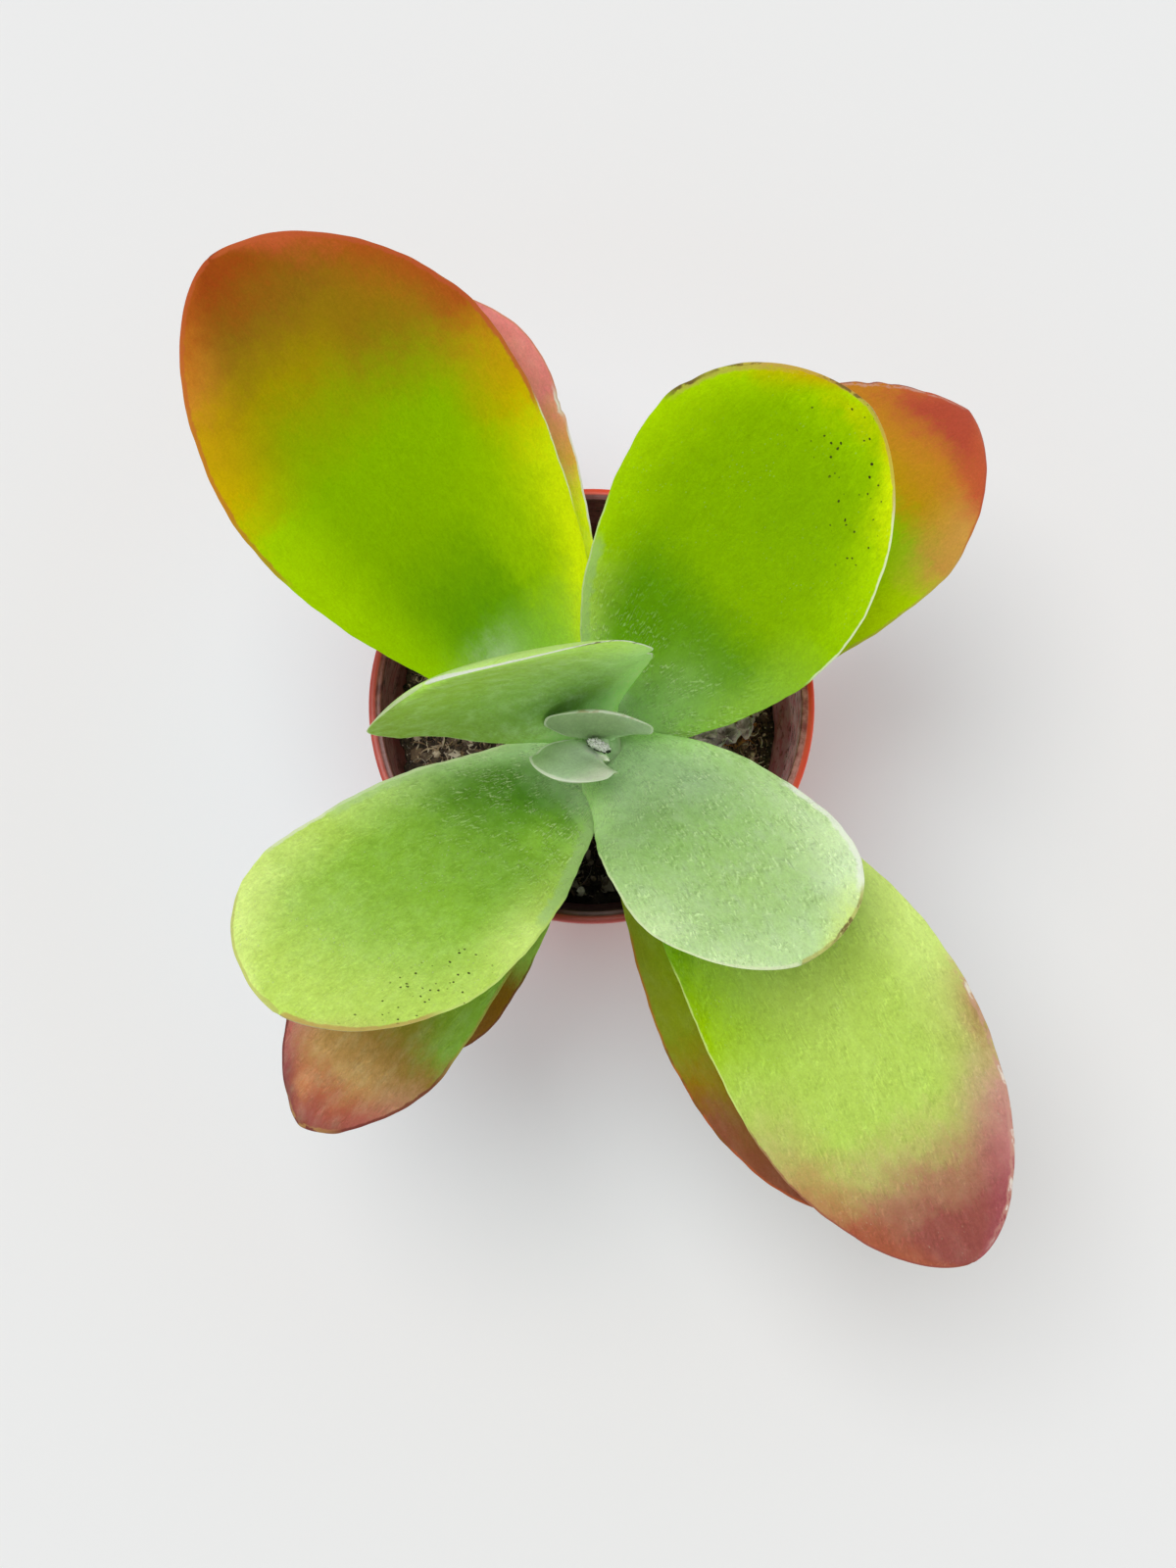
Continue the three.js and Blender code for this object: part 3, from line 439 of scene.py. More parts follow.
class Graph:
    """The node graph of a material or a world, with short calls for the nodes that are used most."""

    def __init__(self, owner):
        owner.use_nodes = True
        self.owner = owner
        self.nodes = owner.node_tree.nodes
        self.links = owner.node_tree.links

    def feed(self, socket, value):
        if isinstance(value, bpy.types.NodeSocket):
            self.links.new(value, socket)
        else:
            socket.default_value = value

    def add(self, kind, inputs=None, **settings):
        """The outputs of a new node. Inputs gives values or sockets by the name or number of an input."""
        node = self.nodes.new("ShaderNode" + kind)
        for key, value in settings.items():
            setattr(node, key, value)
        for key, value in (inputs or {}).items():
            self.feed(node.inputs[key], value)
        return node.outputs

    def attribute(self, name, output="Fac"):
        return self.add("Attribute", attribute_name=name)[output]

    def coordinates(self):
        return self.add("SeparateXYZ", {0: self.position})

    def math(self, operation, a, b=0.0, c=0.0):
        return self.add("Math", {0: a, 1: b, 2: c}, operation=operation)[0]

    def times_plus(self, a, b, c):
        """A times b, plus c."""
        return self.math("MULTIPLY_ADD", a, b, c)

    def around(self, noise, amount, middle=1.0):
        """Noise of 0 to 1 turned into a value that varies by amount round middle."""
        return self.times_plus(noise, amount, middle - amount / 2)

    def product(self, *values):
        result = values[0]
        for value in values[1:]:
            result = self.math("MULTIPLY", result, value)
        return result

    def axis_distance(self):
        """Distance from the Z axis."""
        x, y = self.coordinates()[:2]
        return self.math("SQRT", self.times_plus(x, x, self.product(y, y)))

    def outward(self):
        """How far a surface faces away from the Z axis: 1 outwards, -1 inwards."""
        flat = self.stretched(self.position, (1, 1, 0))
        direction = self.add("VectorMath", {0: flat}, operation="NORMALIZE")[0]
        normal = self.add("NewGeometry")["Normal"]
        return self.add("VectorMath", {0: direction, 1: normal}, operation="DOT_PRODUCT")["Value"]

    def stretched(self, place, stretch, shift=0.0):
        if stretch is None:
            return place
        inputs = {"Vector": place, "Location": (shift, shift, 0), "Scale": stretch}
        return self.add("Mapping", inputs)["Vector"]

    def noise(self, size_mm, detail=3.0, roughness=0.55, stretch=None, output="Fac"):
        """Noise of 0 to 1 whose features are about size_mm across."""
        inputs = {"Vector": self.stretched(self.position, stretch), "Scale": 1 / (size_mm * MM),
                  "Detail": detail, "Roughness": roughness}
        return self.add("TexNoise", inputs)[output]

    def folds(self, place, size_mm, stretch, shift_mm):
        """Fine curled folds: above 0 on the side of each that faces one way, below 0 on its other side."""
        heights = []
        for shift in (0.0, shift_mm * MM):
            inputs = {"Vector": self.stretched(place, stretch, shift), "Scale": 1 / (size_mm * MM),
                      "Detail": 2.0, "Distortion": 0.8}
            heights.append(self.add("TexNoise", inputs)["Fac"])
        return self.math("SUBTRACT", *heights)

    def cells(self, size_mm, jitter_mm, stretch=None):
        """Distance from the middle of cells of size_mm, in cells, and a chance of 0 to 1 for each cell."""
        shake = {0: self.noise(size_mm, 2, 0.6, None, "Color"), 1: (jitter_mm * MM,) * 3, 2: self.position}
        place = self.add("VectorMath", shake, operation="MULTIPLY_ADD")[0]
        inputs = {"Vector": self.stretched(place, stretch), "Scale": 1 / (size_mm * MM)}
        cell = self.add("TexVoronoi", inputs)
        return cell["Distance"], self.add("SeparateColor", {0: cell["Color"]})[0]

    def step(self, value, low, high):
        """A smooth step: 0 where value is at low, 1 where it is at high. Low may be above high."""
        at_least = float(low > high)
        inputs = {"Value": value, "From Min": min(low, high), "From Max": max(low, high),
                  "To Min": at_least, "To Max": 1 - at_least}
        return self.add("MapRange", inputs, interpolation_type="SMOOTHSTEP")["Result"]

    def patch(self, along, across, s, t, reach_along, reach_across):
        """A soft round patch: 1 in its middle at (s, t), fading out over its reach."""
        up = self.times_plus(along, 1 / reach_along, -s / reach_along)
        aside = self.times_plus(across, 1 / reach_across, -t / reach_across)
        square = self.times_plus(up, up, self.product(aside, aside))
        return self.math("EXPONENT", self.product(square, -1.0))

    def ramp(self, value, stops):
        """A colour ramp of (place, pigment) stops."""
        node = self.nodes.new("ShaderNodeValToRGB")
        elements = node.color_ramp.elements
        elements.remove(elements[-1])
        elements[0].position = stops[0][0]
        elements[0].color = linear(stops[0][1])
        for place, pigment in stops[1:]:
            elements.new(place).color = linear(pigment)
        self.feed(node.inputs["Fac"], value)
        return node.outputs["Color"]

    def mix(self, share, a, b, blend="MIX"):
        """Two colours mixed by the share of the second. A name or a tuple is a pigment."""
        a, b = [linear(color) if isinstance(color, (str, tuple)) else color for color in (a, b)]
        return self.add("Mix", {"Factor": share, 6: a, 7: b}, data_type="RGBA", blend_type=blend)[2]

    def cover(self, color, pigment, value, low, high, strength=1.0, blend="MIX"):
        """A colour covered with another, up to strength, as value steps from low to high."""
        return self.mix(self.product(self.step(value, low, high), strength), color, pigment, blend)

    def brighten(self, color, amount):
        """Scales a colour's brightness by amount, a socket round 1."""
        return self.add("HueSaturation", {"Value": amount, "Color": color})["Color"]

    def bump(self, height, depth_mm, strength=1.0, below=None):
        inputs = {"Height": height, "Distance": depth_mm * MM, "Strength": strength}
        if below is not None:
            inputs["Normal"] = below
        return self.add("Bump", inputs)["Normal"]

    def paint(self, obj, **inputs):
        """Feeds the shader's inputs, named with _ for each space, and gives the object this material."""
        for key, value in inputs.items():
            self.feed(self.nodes["Principled BSDF"].inputs[key.replace("_", " ")], value)
        obj.data.materials.append(self.owner)


def material_graph(name):
    """A material's graph whose patterns lie in the object's frame."""
    g = Graph(bpy.data.materials.new(name))
    g.position = g.add("TexCoord")["Object"]
    return g


def blade_graph(name):
    """A material's graph whose patterns lie on the flattened blade."""
    g = Graph(bpy.data.materials.new(name))
    g.position = g.attribute("flat", "Vector")
    return g


# ---------------------------------------------------------------- leaf shape

def stem_axis_at(height):
    return STEM_FOOT + (STEM_TOP - STEM_FOOT) * (height - STEM_FOOT[2]) / (STEM_TOP[2] - STEM_FOOT[2])


def half_width(leaf, s, side):
    full = leaf["width"] / 2
    widest = leaf["widest"] + leaf["skew"] * side
    share = np.clip(s / widest, 0, 1)
    inner = leaf["base"] + (full - leaf["base"]) * np.sin(np.pi / 2 * share) ** WIDENING
    beyond = np.clip((s - widest) / (1 - widest), 0, 1)
    outer = full * np.maximum(1 - beyond ** leaf["blunt"], 0) ** (1 / leaf["blunt"])
    half = np.where(s < widest, inner, outer)
    for nick_side, at, reach, depth in leaf["nicks"]:
        cut = depth * np.exp(-((s - at) * leaf["length"] / reach) ** 2)
        half = half - np.where(side * nick_side > 0, cut, 0)
    return np.maximum(half, 0)


def level_direction(leaf):
    """The level direction in which a leaf leaves the stem."""
    azimuth = math.radians(leaf["azimuth"])
    return np.array([math.cos(azimuth), math.sin(azimuth), 0])


def blade_directions(leaf, s):
    """Along the blade, across it to the left and up out of it, at each s."""
    slope = np.radians(leaf["rise"] + (leaf["tip"] - leaf["rise"]) * s)[..., None]
    sweep = np.radians(leaf["sweep"] * s)[..., None]
    outward = level_direction(leaf)
    vertical = np.array([0, 0, 1])
    left = np.cross(vertical, outward)
    straight = np.cos(slope) * outward + np.sin(slope) * vertical
    up = -np.sin(slope) * outward + np.cos(slope) * vertical
    along = straight * np.cos(sweep) + left * np.sin(sweep)
    across = left * np.cos(sweep) - straight * np.sin(sweep)
    return along, across, up


def blade_centre(leaf, s):
    middles = (np.arange(CENTRE_STEPS) + 0.5) / CENTRE_STEPS
    along = blade_directions(leaf, s[..., None] * middles)[0]
    root = stem_axis_at(leaf["height"]) + leaf["reach"] * level_direction(leaf)
    return root + along.sum(-2) * (leaf["length"] * s / CENTRE_STEPS)[..., None]


def half_thickness(leaf, s, t):
    beyond = np.clip((s - leaf["widest"]) / (1 - leaf["widest"]), 0, 1)
    body = leaf["thick"] / 2 * (ROOT_FLESH + (TIP_FLESH - ROOT_FLESH) * s)
    return body * (1 - np.abs(t) ** 2.5) ** 0.7 * np.sqrt(1 - beyond ** 6)


def unevenness(leaf, s, side):
    """How far a margin wanders out of its smooth line, in millimetres."""
    place = s * leaf["length"]
    turn = leaf["azimuth"] + side * 2.3
    wander = np.sin(place * 0.31 + turn) + np.sin(place * 0.57 + 2 * turn)
    wander = wander + 0.5 * np.sin(place * 1.3 + 3 * turn)
    return MARGIN_UNEVENNESS * wander * smooth(s / 0.2) * smooth((1 - s) / 0.1)


def blade_points(leaf, s, t, lift):
    """Points of the blade, in millimetres, lifted off its middle surface."""
    across, up = blade_directions(leaf, s)[1:]
    roll = (math.radians(leaf["roll"]) * smooth(s / ROLL_END))[..., None]
    side = across * np.cos(roll) + up * np.sin(roll)
    normal = up * np.cos(roll) - across * np.sin(roll)
    cup = math.radians(leaf["cup"])
    half = half_width(leaf, s, np.sign(t))
    half = half + unevenness(leaf, s, np.sign(t)) * smooth((np.abs(t) - 0.8) / 0.2)
    phase = WAVES_PER_LEAF * 2 * np.pi * s + np.where(t > 0, 1.1, 2.7) + leaf["azimuth"]
    ripple = leaf["wave"] * np.sin(phase) * np.abs(t) ** 3 * smooth(s / WAVE_START)
    curl = leaf["curl"] * smooth((t - CURL_START) / (1 - CURL_START))
    curl = curl * smooth(s / WAVE_START) * smooth((0.95 - s) / WAVE_START)
    rise = half * (1 - np.cos(cup * t)) / cup + ripple + curl + lift * np.cos(cup * t)
    sideways = half * np.sin(cup * t) / cup - lift * np.sin(cup * t)
    return blade_centre(leaf, s) + side * sideways[..., None] + normal * rise[..., None]


def margin_distance(leaf, s, t):
    """Distance from each point of the flattened blade to its margin, in millimetres."""
    steps = np.linspace(0, 1, 160)
    right, left = [np.stack([side * half_width(leaf, steps, side), steps * leaf["length"]], 1)
                   for side in (-1, 1)]
    outline = np.concatenate([right, left[::-1]])
    start = outline[:-1]
    span = outline[1:] - start
    points = np.stack([t * half_width(leaf, s, np.sign(t)), s * leaf["length"]], -1).reshape(-1, 2)
    nearest = []
    for some in np.array_split(points, 8):
        offset = some[:, None] - start
        share = np.clip((offset * span).sum(-1) / np.maximum((span ** 2).sum(-1), 1e-9), 0, 1)
        nearest.append(np.linalg.norm(offset - share[..., None] * span, axis=-1).min(1))
    return np.concatenate(nearest).reshape(s.shape)


def joined(upper, lower, tip):
    """One row for each point of a blade's mesh, from the grids for its two sides and the row for its tip."""
    size = upper.shape[2:]
    return np.concatenate([upper.reshape(-1, *size), lower.reshape(-1, *size), np.reshape(tip, (1, *size))])


def blade_faces(rows, columns):
    """Faces over both sides of a blade, which share its margins, round its tip and over its root."""
    upper = np.arange(rows * (columns + 1)).reshape(rows, columns + 1)
    lower = upper.copy()
    lower[:, 1:-1] = upper.size + np.arange(rows * (columns - 1)).reshape(rows, columns - 1)
    tip = upper.size + rows * (columns - 1)
    faces = grid_faces(upper) + grid_faces(lower.T)
    for edge in (upper[-1].tolist(), lower[-1, ::-1].tolist()):
        faces += [(a, tip, b) for a, b in zip(edge, edge[1:])]
    return faces + [upper[0].tolist() + lower[0, -2:0:-1].tolist()]


def blade_mesh(leaf, name, rows=BLADE_ROWS, columns=BLADE_COLUMNS, roughen=None):
    """A closed fine blade. Its attributes say where each point lies on the leaf, for the material."""
    share = np.arange(rows) / rows
    s_rows = ROOT_START + (1 - ROOT_START) * (1 - (1 - share) ** ROW_CROWDING)
    t_columns = np.sin(np.linspace(-np.pi / 2, np.pi / 2, columns + 1))
    s, t = np.meshgrid(s_rows, t_columns, indexing="ij")
    lift = half_thickness(leaf, s, t)
    within = np.s_[:, 1:-1]
    upper = blade_points(leaf, s, t, lift)
    lower = blade_points(leaf, s[within], t[within], -lift[within])
    if roughen is not None:
        upper, lower = roughen(upper, t), roughen(lower, t[within])
    tip = blade_points(leaf, np.ones(1), np.zeros(1), np.zeros(1))

    edge = margin_distance(leaf, np.maximum(s, 0), t)
    faces_up = np.ones(s.shape)
    faces_up[:, [0, -1]] = 0.5
    attributes = {
        "along": joined(s, s[within], 1.0),
        "across": joined(t, t[within], 0.0),
        "edge_mm": joined(edge, edge[within], 0.0),
        "upper": joined(faces_up, np.zeros(lower.shape[:2]), 0.5),
    }
    width = t * half_width(leaf, s, np.sign(t))
    fan_width = np.where(s < leaf["widest"], t * leaf["width"] / 2, width)
    start = np.array([leaf["azimuth"], leaf["height"] * 2, 0]) * PATTERN_SPACING
    for key, sideways in (("flat", width), ("fan", fan_width)):
        above = np.stack([sideways, s * leaf["length"], lift * PATTERN_DEPTH], -1)
        below = above[within] * (1, 1, -1)
        attributes[key] = (joined(above, below, (0, leaf["length"], 0)) + start) * MM
    return make_mesh(name, joined(upper, lower, tip), blade_faces(rows, columns), attributes)


# ---------------------------------------------------------------- leaf material

def margin_line(g, color, along, across, edge, line):
    """A colour with one of the lines along a margin drawn over it."""
    side, start, end, width, pigment, strength, left_out = line
    length = g.math("ADD", g.step(along, start - 0.03, start + 0.02), g.step(along, end - 0.02, end + 0.03))
    share = g.product(g.math("PINGPONG", length, 1.0), strength)
    wavy = g.times_plus(g.noise(2.0, 3), -width * 1.2, edge)
    share = g.product(share, g.step(wavy, width * 0.55, width * 0.05))
    if left_out:
        patchy = g.noise(2.6, 3, 0.6, (1, 0.6, 1))
        share = g.product(share, g.step(patchy, left_out - 0.06, left_out + 0.05))
    if side:
        share = g.product(share, g.step(across, 0.0, 0.2 * side))
    return g.mix(share, color, pigment)


def fold_shading_and_relief(g, leaf, along):
    """A leaf's fine folds and shining dots: painted highlights and shade that light and whiten it, and how
    much they raise it.
    """
    everywhere, at_root, root_reach, glints = leaf["folds"]
    patchy = g.step(g.noise(5, 4, 0.65), 0.42, 0.58)
    rooty = g.product(g.step(along, root_reach, 0.1), at_root)
    folded = g.product(g.math("MAXIMUM", rooty, everywhere), patchy)
    fold = g.folds(g.attribute("fan", "Vector"), 1.7, (1.8, 0.75, 1), 0.4)
    # Painted highlight on one side of each fold and painted shade on its other side.
    painted_lit_side = g.product(g.step(fold, 0.05, 0.12), folded)
    painted_shaded_side = g.product(g.step(fold, -0.04, -0.13), folded)
    # The dots are painted glints, whitened with cream.
    dot, dot_chance = g.cells(0.8, 0.6, (1.3, 0.75, 1.3))
    glint_patch = g.step(g.noise(9, 3, 0.6), 0.44, 0.6)
    dots = g.product(g.step(dot, 0.26, 0.12), g.step(dot_chance, 0.62, 0.7), glint_patch, glints)
    lit = g.times_plus(painted_lit_side, 0.35, g.times_plus(painted_shaded_side, -0.28, 1.0))
    pale = g.math("MAXIMUM", g.product(painted_lit_side, rooty, 0.55), g.product(dots, 0.6))
    return lit, pale, g.math("MAXIMUM", painted_lit_side, dots)


def paint_leaf(leaf, blade):
    g = blade_graph(leaf["name"])
    cloud = g.noise(15, 2)
    medium = g.noise(4, 3)
    streak = g.noise(5, 4, 0.65, (1.8, 0.8, 1))
    fine = g.noise(1.1, 3, 0.65, (1.5, 0.7, 1))
    grain = g.noise(0.45, 2, 0.7)
    ragged = g.math("ADD", g.around(medium, 0.06, 0.0), g.around(fine, 0.05, 0.0))
    place = g.attribute("along")
    along = g.math("ADD", place, g.math("ADD", g.around(cloud, 0.05, 0.0), ragged))
    across = g.attribute("across")
    drift = g.times_plus(ragged, -2.0, g.around(cloud, -0.15, 0.0))
    drifted = g.math("ADD", across, drift)
    edge = g.attribute("edge_mm")

    color = g.ramp(along, leaf["midrib"])
    color = g.cover(color, g.ramp(along, leaf["left"]), drifted, leaf["spread"], 1.0)
    color = g.cover(color, g.ramp(along, leaf["right"]), drifted, -leaf["spread"], -1.0)
    for s, t, reach_along, reach_across, pigment, strength in leaf["washes"]:
        patch = g.patch(along, drifted, s, t, reach_along, reach_across)
        color = g.mix(g.product(patch, g.around(streak, 0.8), strength), color, pigment)

    mottle = leaf["mottle"]
    color = g.cover(color, "silver", streak, 0.38, 0.75, leaf["bloom"])
    streaky = g.around(streak, 0.7 * mottle)
    shade = g.product(streaky, g.around(fine, 0.15 + 0.5 * mottle), g.around(grain, 0.35))
    # Painted light: the root end is brightened to cancel the shade between the leaf bases.
    painted_root_light = g.times_plus(g.step(place, 0.38, 0.06), ROOT_PAINTED_LIGHT, 1.0)
    # A leaf's tone lifts its colour where it sits in shade: partly painted light.
    color = g.brighten(color, g.product(shade, painted_root_light, leaf["tone"]))

    # Painted highlights and shade of the folds and glints, then whitening toward cream.
    lit, pale, raised = fold_shading_and_relief(g, leaf, along)
    color = g.mix(pale, g.brighten(color, lit), "cream")
    for line in leaf["margins"]:
        color = margin_line(g, color, place, across, edge, line)

    speck, speck_chance = g.cells(1.6, 0.7)
    speck_mark = g.product(g.step(speck, 0.22, 0.13), g.step(speck_chance, 0.25, 0.3))
    for patch in leaf["specks"]:
        covered = g.step(g.patch(place, across, *patch), 0.25, 0.4)
        color = g.mix(g.product(speck_mark, covered, 0.9), color, "char")

    underside = g.mix(0.3, g.brighten(color, 0.95), "frost")
    color = g.mix(g.attribute("upper"), underside, color)
    relief = g.math("ADD", raised, g.around(grain, 0.3, 0.15))
    normal = g.bump(relief, 0.16, 0.9, g.bump(streak, 0.35, 0.5))
    g.paint(blade, Base_Color=color, Roughness=g.times_plus(medium, 0.25, 0.32), Normal=normal,
            Specular_IOR_Level=0.3, Specular_Tint=linear("bright_lime"), Subsurface_Weight=0.06,
            Subsurface_Radius=(0.0010, 0.0018, 0.0004), Subsurface_Scale=1.0)


def add_leaf(leaf):
    blade = blade_mesh(leaf, leaf["name"] + ".fine")
    paint_leaf(leaf, blade)
    finish_piece(blade, leaf["name"], leaf["name"])


# ---------------------------------------------------------------- pot

def pot_profile():
    """The pot's section as (radius, height), from under its middle round to the middle of its floor."""
    collar_top = POT_HEIGHT - LIP_HEIGHT
    collar_foot = POT_HEIGHT - COLLAR_HEIGHT
    collar_radius = RIM_RADIUS - 1.6
    body_top = collar_radius - 1.2 - COLLAR_STEP
    outside = [
        (0, 0),
        (BASE_RADIUS - 1.2, 0),
        (BASE_RADIUS - 0.4, 0.3),
        (BASE_RADIUS, 1.2),
        (body_top, collar_foot),
        (body_top + 0.3, collar_foot + 0.2),
        (collar_radius - 1.4, collar_foot + 0.8),
        (collar_radius - 1.2, collar_foot + 1.1),
        (collar_radius, collar_top),
        (collar_radius + 0.2, collar_top + 0.3),
        (RIM_RADIUS - 0.2, collar_top + 0.5),
        (RIM_RADIUS, collar_top + 0.8),
    ]
    lip = [(0, 0.6), (0.15, 0.2), (0.5, 0), (1.3, 0), (1.7, 0.12), (2.2, 0.16), (2.5, 0.06), (2.8, 0.14),
           (LIP_WIDTH, 0.6)]
    inside = [
        (collar_radius - 1.2 - POT_WALL, collar_foot + 2.6),
        (body_top - POT_WALL, collar_foot - 0.4),
        (BASE_RADIUS - POT_WALL, POT_FLOOR + 1),
        (BASE_RADIUS - POT_WALL - 1, POT_FLOOR),
        (0, POT_FLOOR),
    ]
    return outside + [(RIM_RADIUS - inwards, POT_HEIGHT - down) for inwards, down in lip] + inside


def inner_radius(height):
    """The radius of the pot's inside at a height."""
    radii, heights = zip(*pot_profile()[-6:-1][::-1])
    return np.interp(height, heights, radii)


def cut_drain_holes(pot):
    for hole in range(DRAIN_COUNT):
        angle = 2 * math.pi * hole / DRAIN_COUNT
        profile = [(0, -2), (DRAIN_RADIUS, -2), (DRAIN_RADIUS, POT_FLOOR + 2), (0, POT_FLOOR + 2)]
        drill = lathe(profile, 28, "drill")
        drill.location = Vector((DRAIN_CIRCLE * math.cos(angle), DRAIN_CIRCLE * math.sin(angle), 0)) * MM
        cut = pot.modifiers.new("drain", "BOOLEAN")
        cut.operation = "DIFFERENCE"
        cut.solver = "EXACT"
        cut.object = drill
        bpy.context.view_layer.update()
        drilled = bpy.data.meshes.new_from_object(pot.evaluated_get(bpy.context.evaluated_depsgraph_get()))
        pot.modifiers.clear()
        pot.data = drilled
        bpy.data.objects.remove(drill)


def stained_wall_painted_light(g, film, lip):
    """The colour of the pot's inside: dusty film, dried streaks, caked soil, a stained lip and painted light.
    """
    x, y, z = g.coordinates()
    streaks = g.noise(1.3, 4, 0.7, (0.35, 0.35, 2.2))
    caked = g.noise(1.6, 4, 0.7, (0.5, 0.5, 1.6))
    ledge = (POT_HEIGHT - COLLAR_HEIGHT + COLLAR_STEP) * MM
    # The wall's pigments are far brighter than the plastic: painted light to lift the shade inside the pot.
    wall = g.cover((228, 104, 140), (252, 196, 216), film, 0.36, 0.6)
    wall = g.cover(wall, (255, 232, 240), streaks, 0.5, 0.66, 0.75)
    wall = g.cover(wall, (84, 52, 48), caked, 0.55, 0.6, 0.8)
    wall = g.cover(wall, (168, 88, 92), z, ledge, ledge - 0.001, 0.7)
    wall = g.mix(lip, wall, g.cover((136, 68, 70), (206, 146, 142), film, 0.36, 0.6))
    west = (x, -0.01, -0.035, (150, 132, 120))
    north = (y, 0.03, 0.042, (104, 76, 66))
    south = (y, -0.032, -0.044, (84, 72, 66))
    for place, low, high, shade in (west, north, south):
        wall = g.cover(wall, shade, place, low, high, blend="MULTIPLY")
    return wall


def paint_pot(pot):
    """Thin orange-red plastic, duller to the west and south, with soil dust dried and light painted on its
    inside.
    """
    g = material_graph("pot_plastic")
    x, y, z = g.coordinates()
    cloud = g.noise(9, 4)
    fresh = g.cover((240, 66, 32), (248, 84, 42), cloud, 0.35, 0.65)
    faded = g.cover((176, 62, 48), (196, 78, 62), cloud, 0.35, 0.65)
    color = g.cover(fresh, faded, x, -0.02, -0.045)
    color = g.cover(color, (176, 62, 54), y, -0.032, -0.046)
    scuffs = g.noise(3, 5, 0.7)
    color = g.cover(color, (196, 118, 92), scuffs, 0.56, 0.74, 0.35)

    film = g.noise(2.2, 5, 0.7, (0.5, 0.5, 1.8))
    blur = 0.0003
    lip_middle = (RIM_RADIUS - LIP_WIDTH / 2) * MM
    lip_top = (POT_HEIGHT - LIP_HEIGHT / 2) * MM
    inner_lip = g.step(g.axis_distance(), lip_middle + blur, lip_middle - blur)
    inner_lip = g.product(inner_lip, g.step(z, lip_top, lip_top + blur))
    inside = g.step(g.outward(), -0.12, -0.35)
    stained = g.math("MAXIMUM", inside, g.product(inner_lip, 0.9))
    color = g.mix(stained, color, stained_wall_painted_light(g, film, inner_lip))
    normal = g.bump(g.noise(0.6, 3), 0.05, 0.5, g.bump(film, 0.3, 0.4))
    roughness = g.times_plus(inside, 0.35, g.times_plus(cloud, 0.15, 0.28))
    g.paint(pot, Base_Color=color, Roughness=roughness, Normal=normal, Specular_IOR_Level=0.45)


def add_pot():
    pot = lathe(pot_profile(), 144, "pot.fine")
    cut_drain_holes(pot)
    pot.data.polygons.foreach_set("use_smooth", [True] * len(pot.data.polygons))
    pot.data.materials.clear()
    paint_pot(pot)
    finish_piece(pot, "pot", "pot")


# ---------------------------------------------------------------- soil

def soil_height(x, y):
    broad = np.sin(x * 0.19 + 0.7) * np.cos(y * 0.23 - 0.4)
    fine = np.sin(x * 0.61 - y * 0.37) * np.cos(y * 0.53 + x * 0.29 + 1.2)
    edge = smooth((np.hypot(x, y) - SOIL_EDGE_START) / SOIL_EDGE_REACH)
    pile = SOIL_PILE_RISE * smooth((-np.asarray(x) - SOIL_PILE_START) / SOIL_PILE_REACH)
    return SOIL_SURFACE + SOIL_BUMP * (broad + fine) + pile - SOIL_EDGE_DIP * edge


def rough_soil_height(x, y):
    """The soil's height with its crumbs, at one point."""
    spot = Vector((x, y, 0))
    lumps = noise.fractal(spot * 0.22, 0.7, 2.0, 4) * 1.1
    crumbs = noise.fractal(spot * 0.9, 0.9, 2.1, 4) * 0.55
    return float(soil_height(x, y)) + lumps + crumbs


def paint_soil(g, obj, color, **inputs):
    """Greyer to the west, golden brown with painted light in the east, near black with painted shade in the
    south.
    """
    x, y = g.coordinates()[:2]
    east = g.product(g.step(x, 0.012, 0.03), g.step(y, -0.006, -0.02))
    color = g.cover(color, (104, 92, 84), x, -0.012, -0.03, 0.15)
    color = g.mix(g.product(east, 0.7), color, (255, 204, 150), "MULTIPLY")
    # Painted light brightens the east, where the mix lies in shade.
    color = g.brighten(color, g.times_plus(east, 1.4, 1.0))
    color = g.mix(1.0, color, (240, 232, 220), "DARKEN")
    # Near black to the south: partly the mix's own colour, partly painted shade.
    color = g.cover(color, (92, 92, 88), y, -0.024, -0.034, 0.85, "MULTIPLY")
    g.paint(obj, Base_Color=color, **inputs)


def add_soil():
    """The mix: rings of rough ground out to the wall, then smooth rings down inside the pot."""
    rings = 96
    sides = 220
    gap = 0.12
    shoulder = POT_HEIGHT - COLLAR_HEIGHT - 0.5
    level = float(inner_radius(SOIL_SURFACE))
    edge_heights = np.array([rough_soil_height(*point[:2]) for point in ring(level, 0, sides)])
    edge_radii = inner_radius(edge_heights) - gap
    skin = []
    for share in np.arange(1, rings) / rings:
        points = ring(edge_radii * share, 0, sides)
        points[:, 2] = [rough_soil_height(*point[:2]) for point in points]
        skin.append(points)
    under = [edge_heights, np.minimum(edge_heights - SOIL_EDGE_DEPTH, shoulder), 60.0, 35.0, POT_FLOOR + 1.4]
    skin += [ring(inner_radius(heights) - gap, heights, sides) for heights in under]
    middle = (0, 0, rough_soil_height(0, 0))
    soil = closed_mesh("soil.fine", middle, skin, (0, 0, POT_FLOOR + 0.2), downwards=True)

    g = material_graph("soil_mix")
    crumb = g.noise(1.0, 5, 0.75)
    lump = g.noise(5, 4, 0.6)
    grain, grain_chance = g.cells(0.9, 0.3)
    pale = g.product(g.step(grain_chance, 0.72, 0.8), 0.9)
    # The near-black ground is partly painted shade in the gaps; the lighter tones are painted brighter
    # against the shade in the pot.
    color = g.cover((22, 16, 12), (104, 84, 68), crumb, 0.38, 0.7)
    color = g.cover(color, (160, 138, 116), lump, 0.52, 0.7, 0.5)
    color = g.cover(color, (236, 222, 204), grain, 0.3, 0.16, pale)
    paint_soil(g, soil, color, Roughness=0.85, Normal=g.bump(crumb, 0.7), Specular_IOR_Level=0.35)
    finish_piece(soil, "soil", "soil")


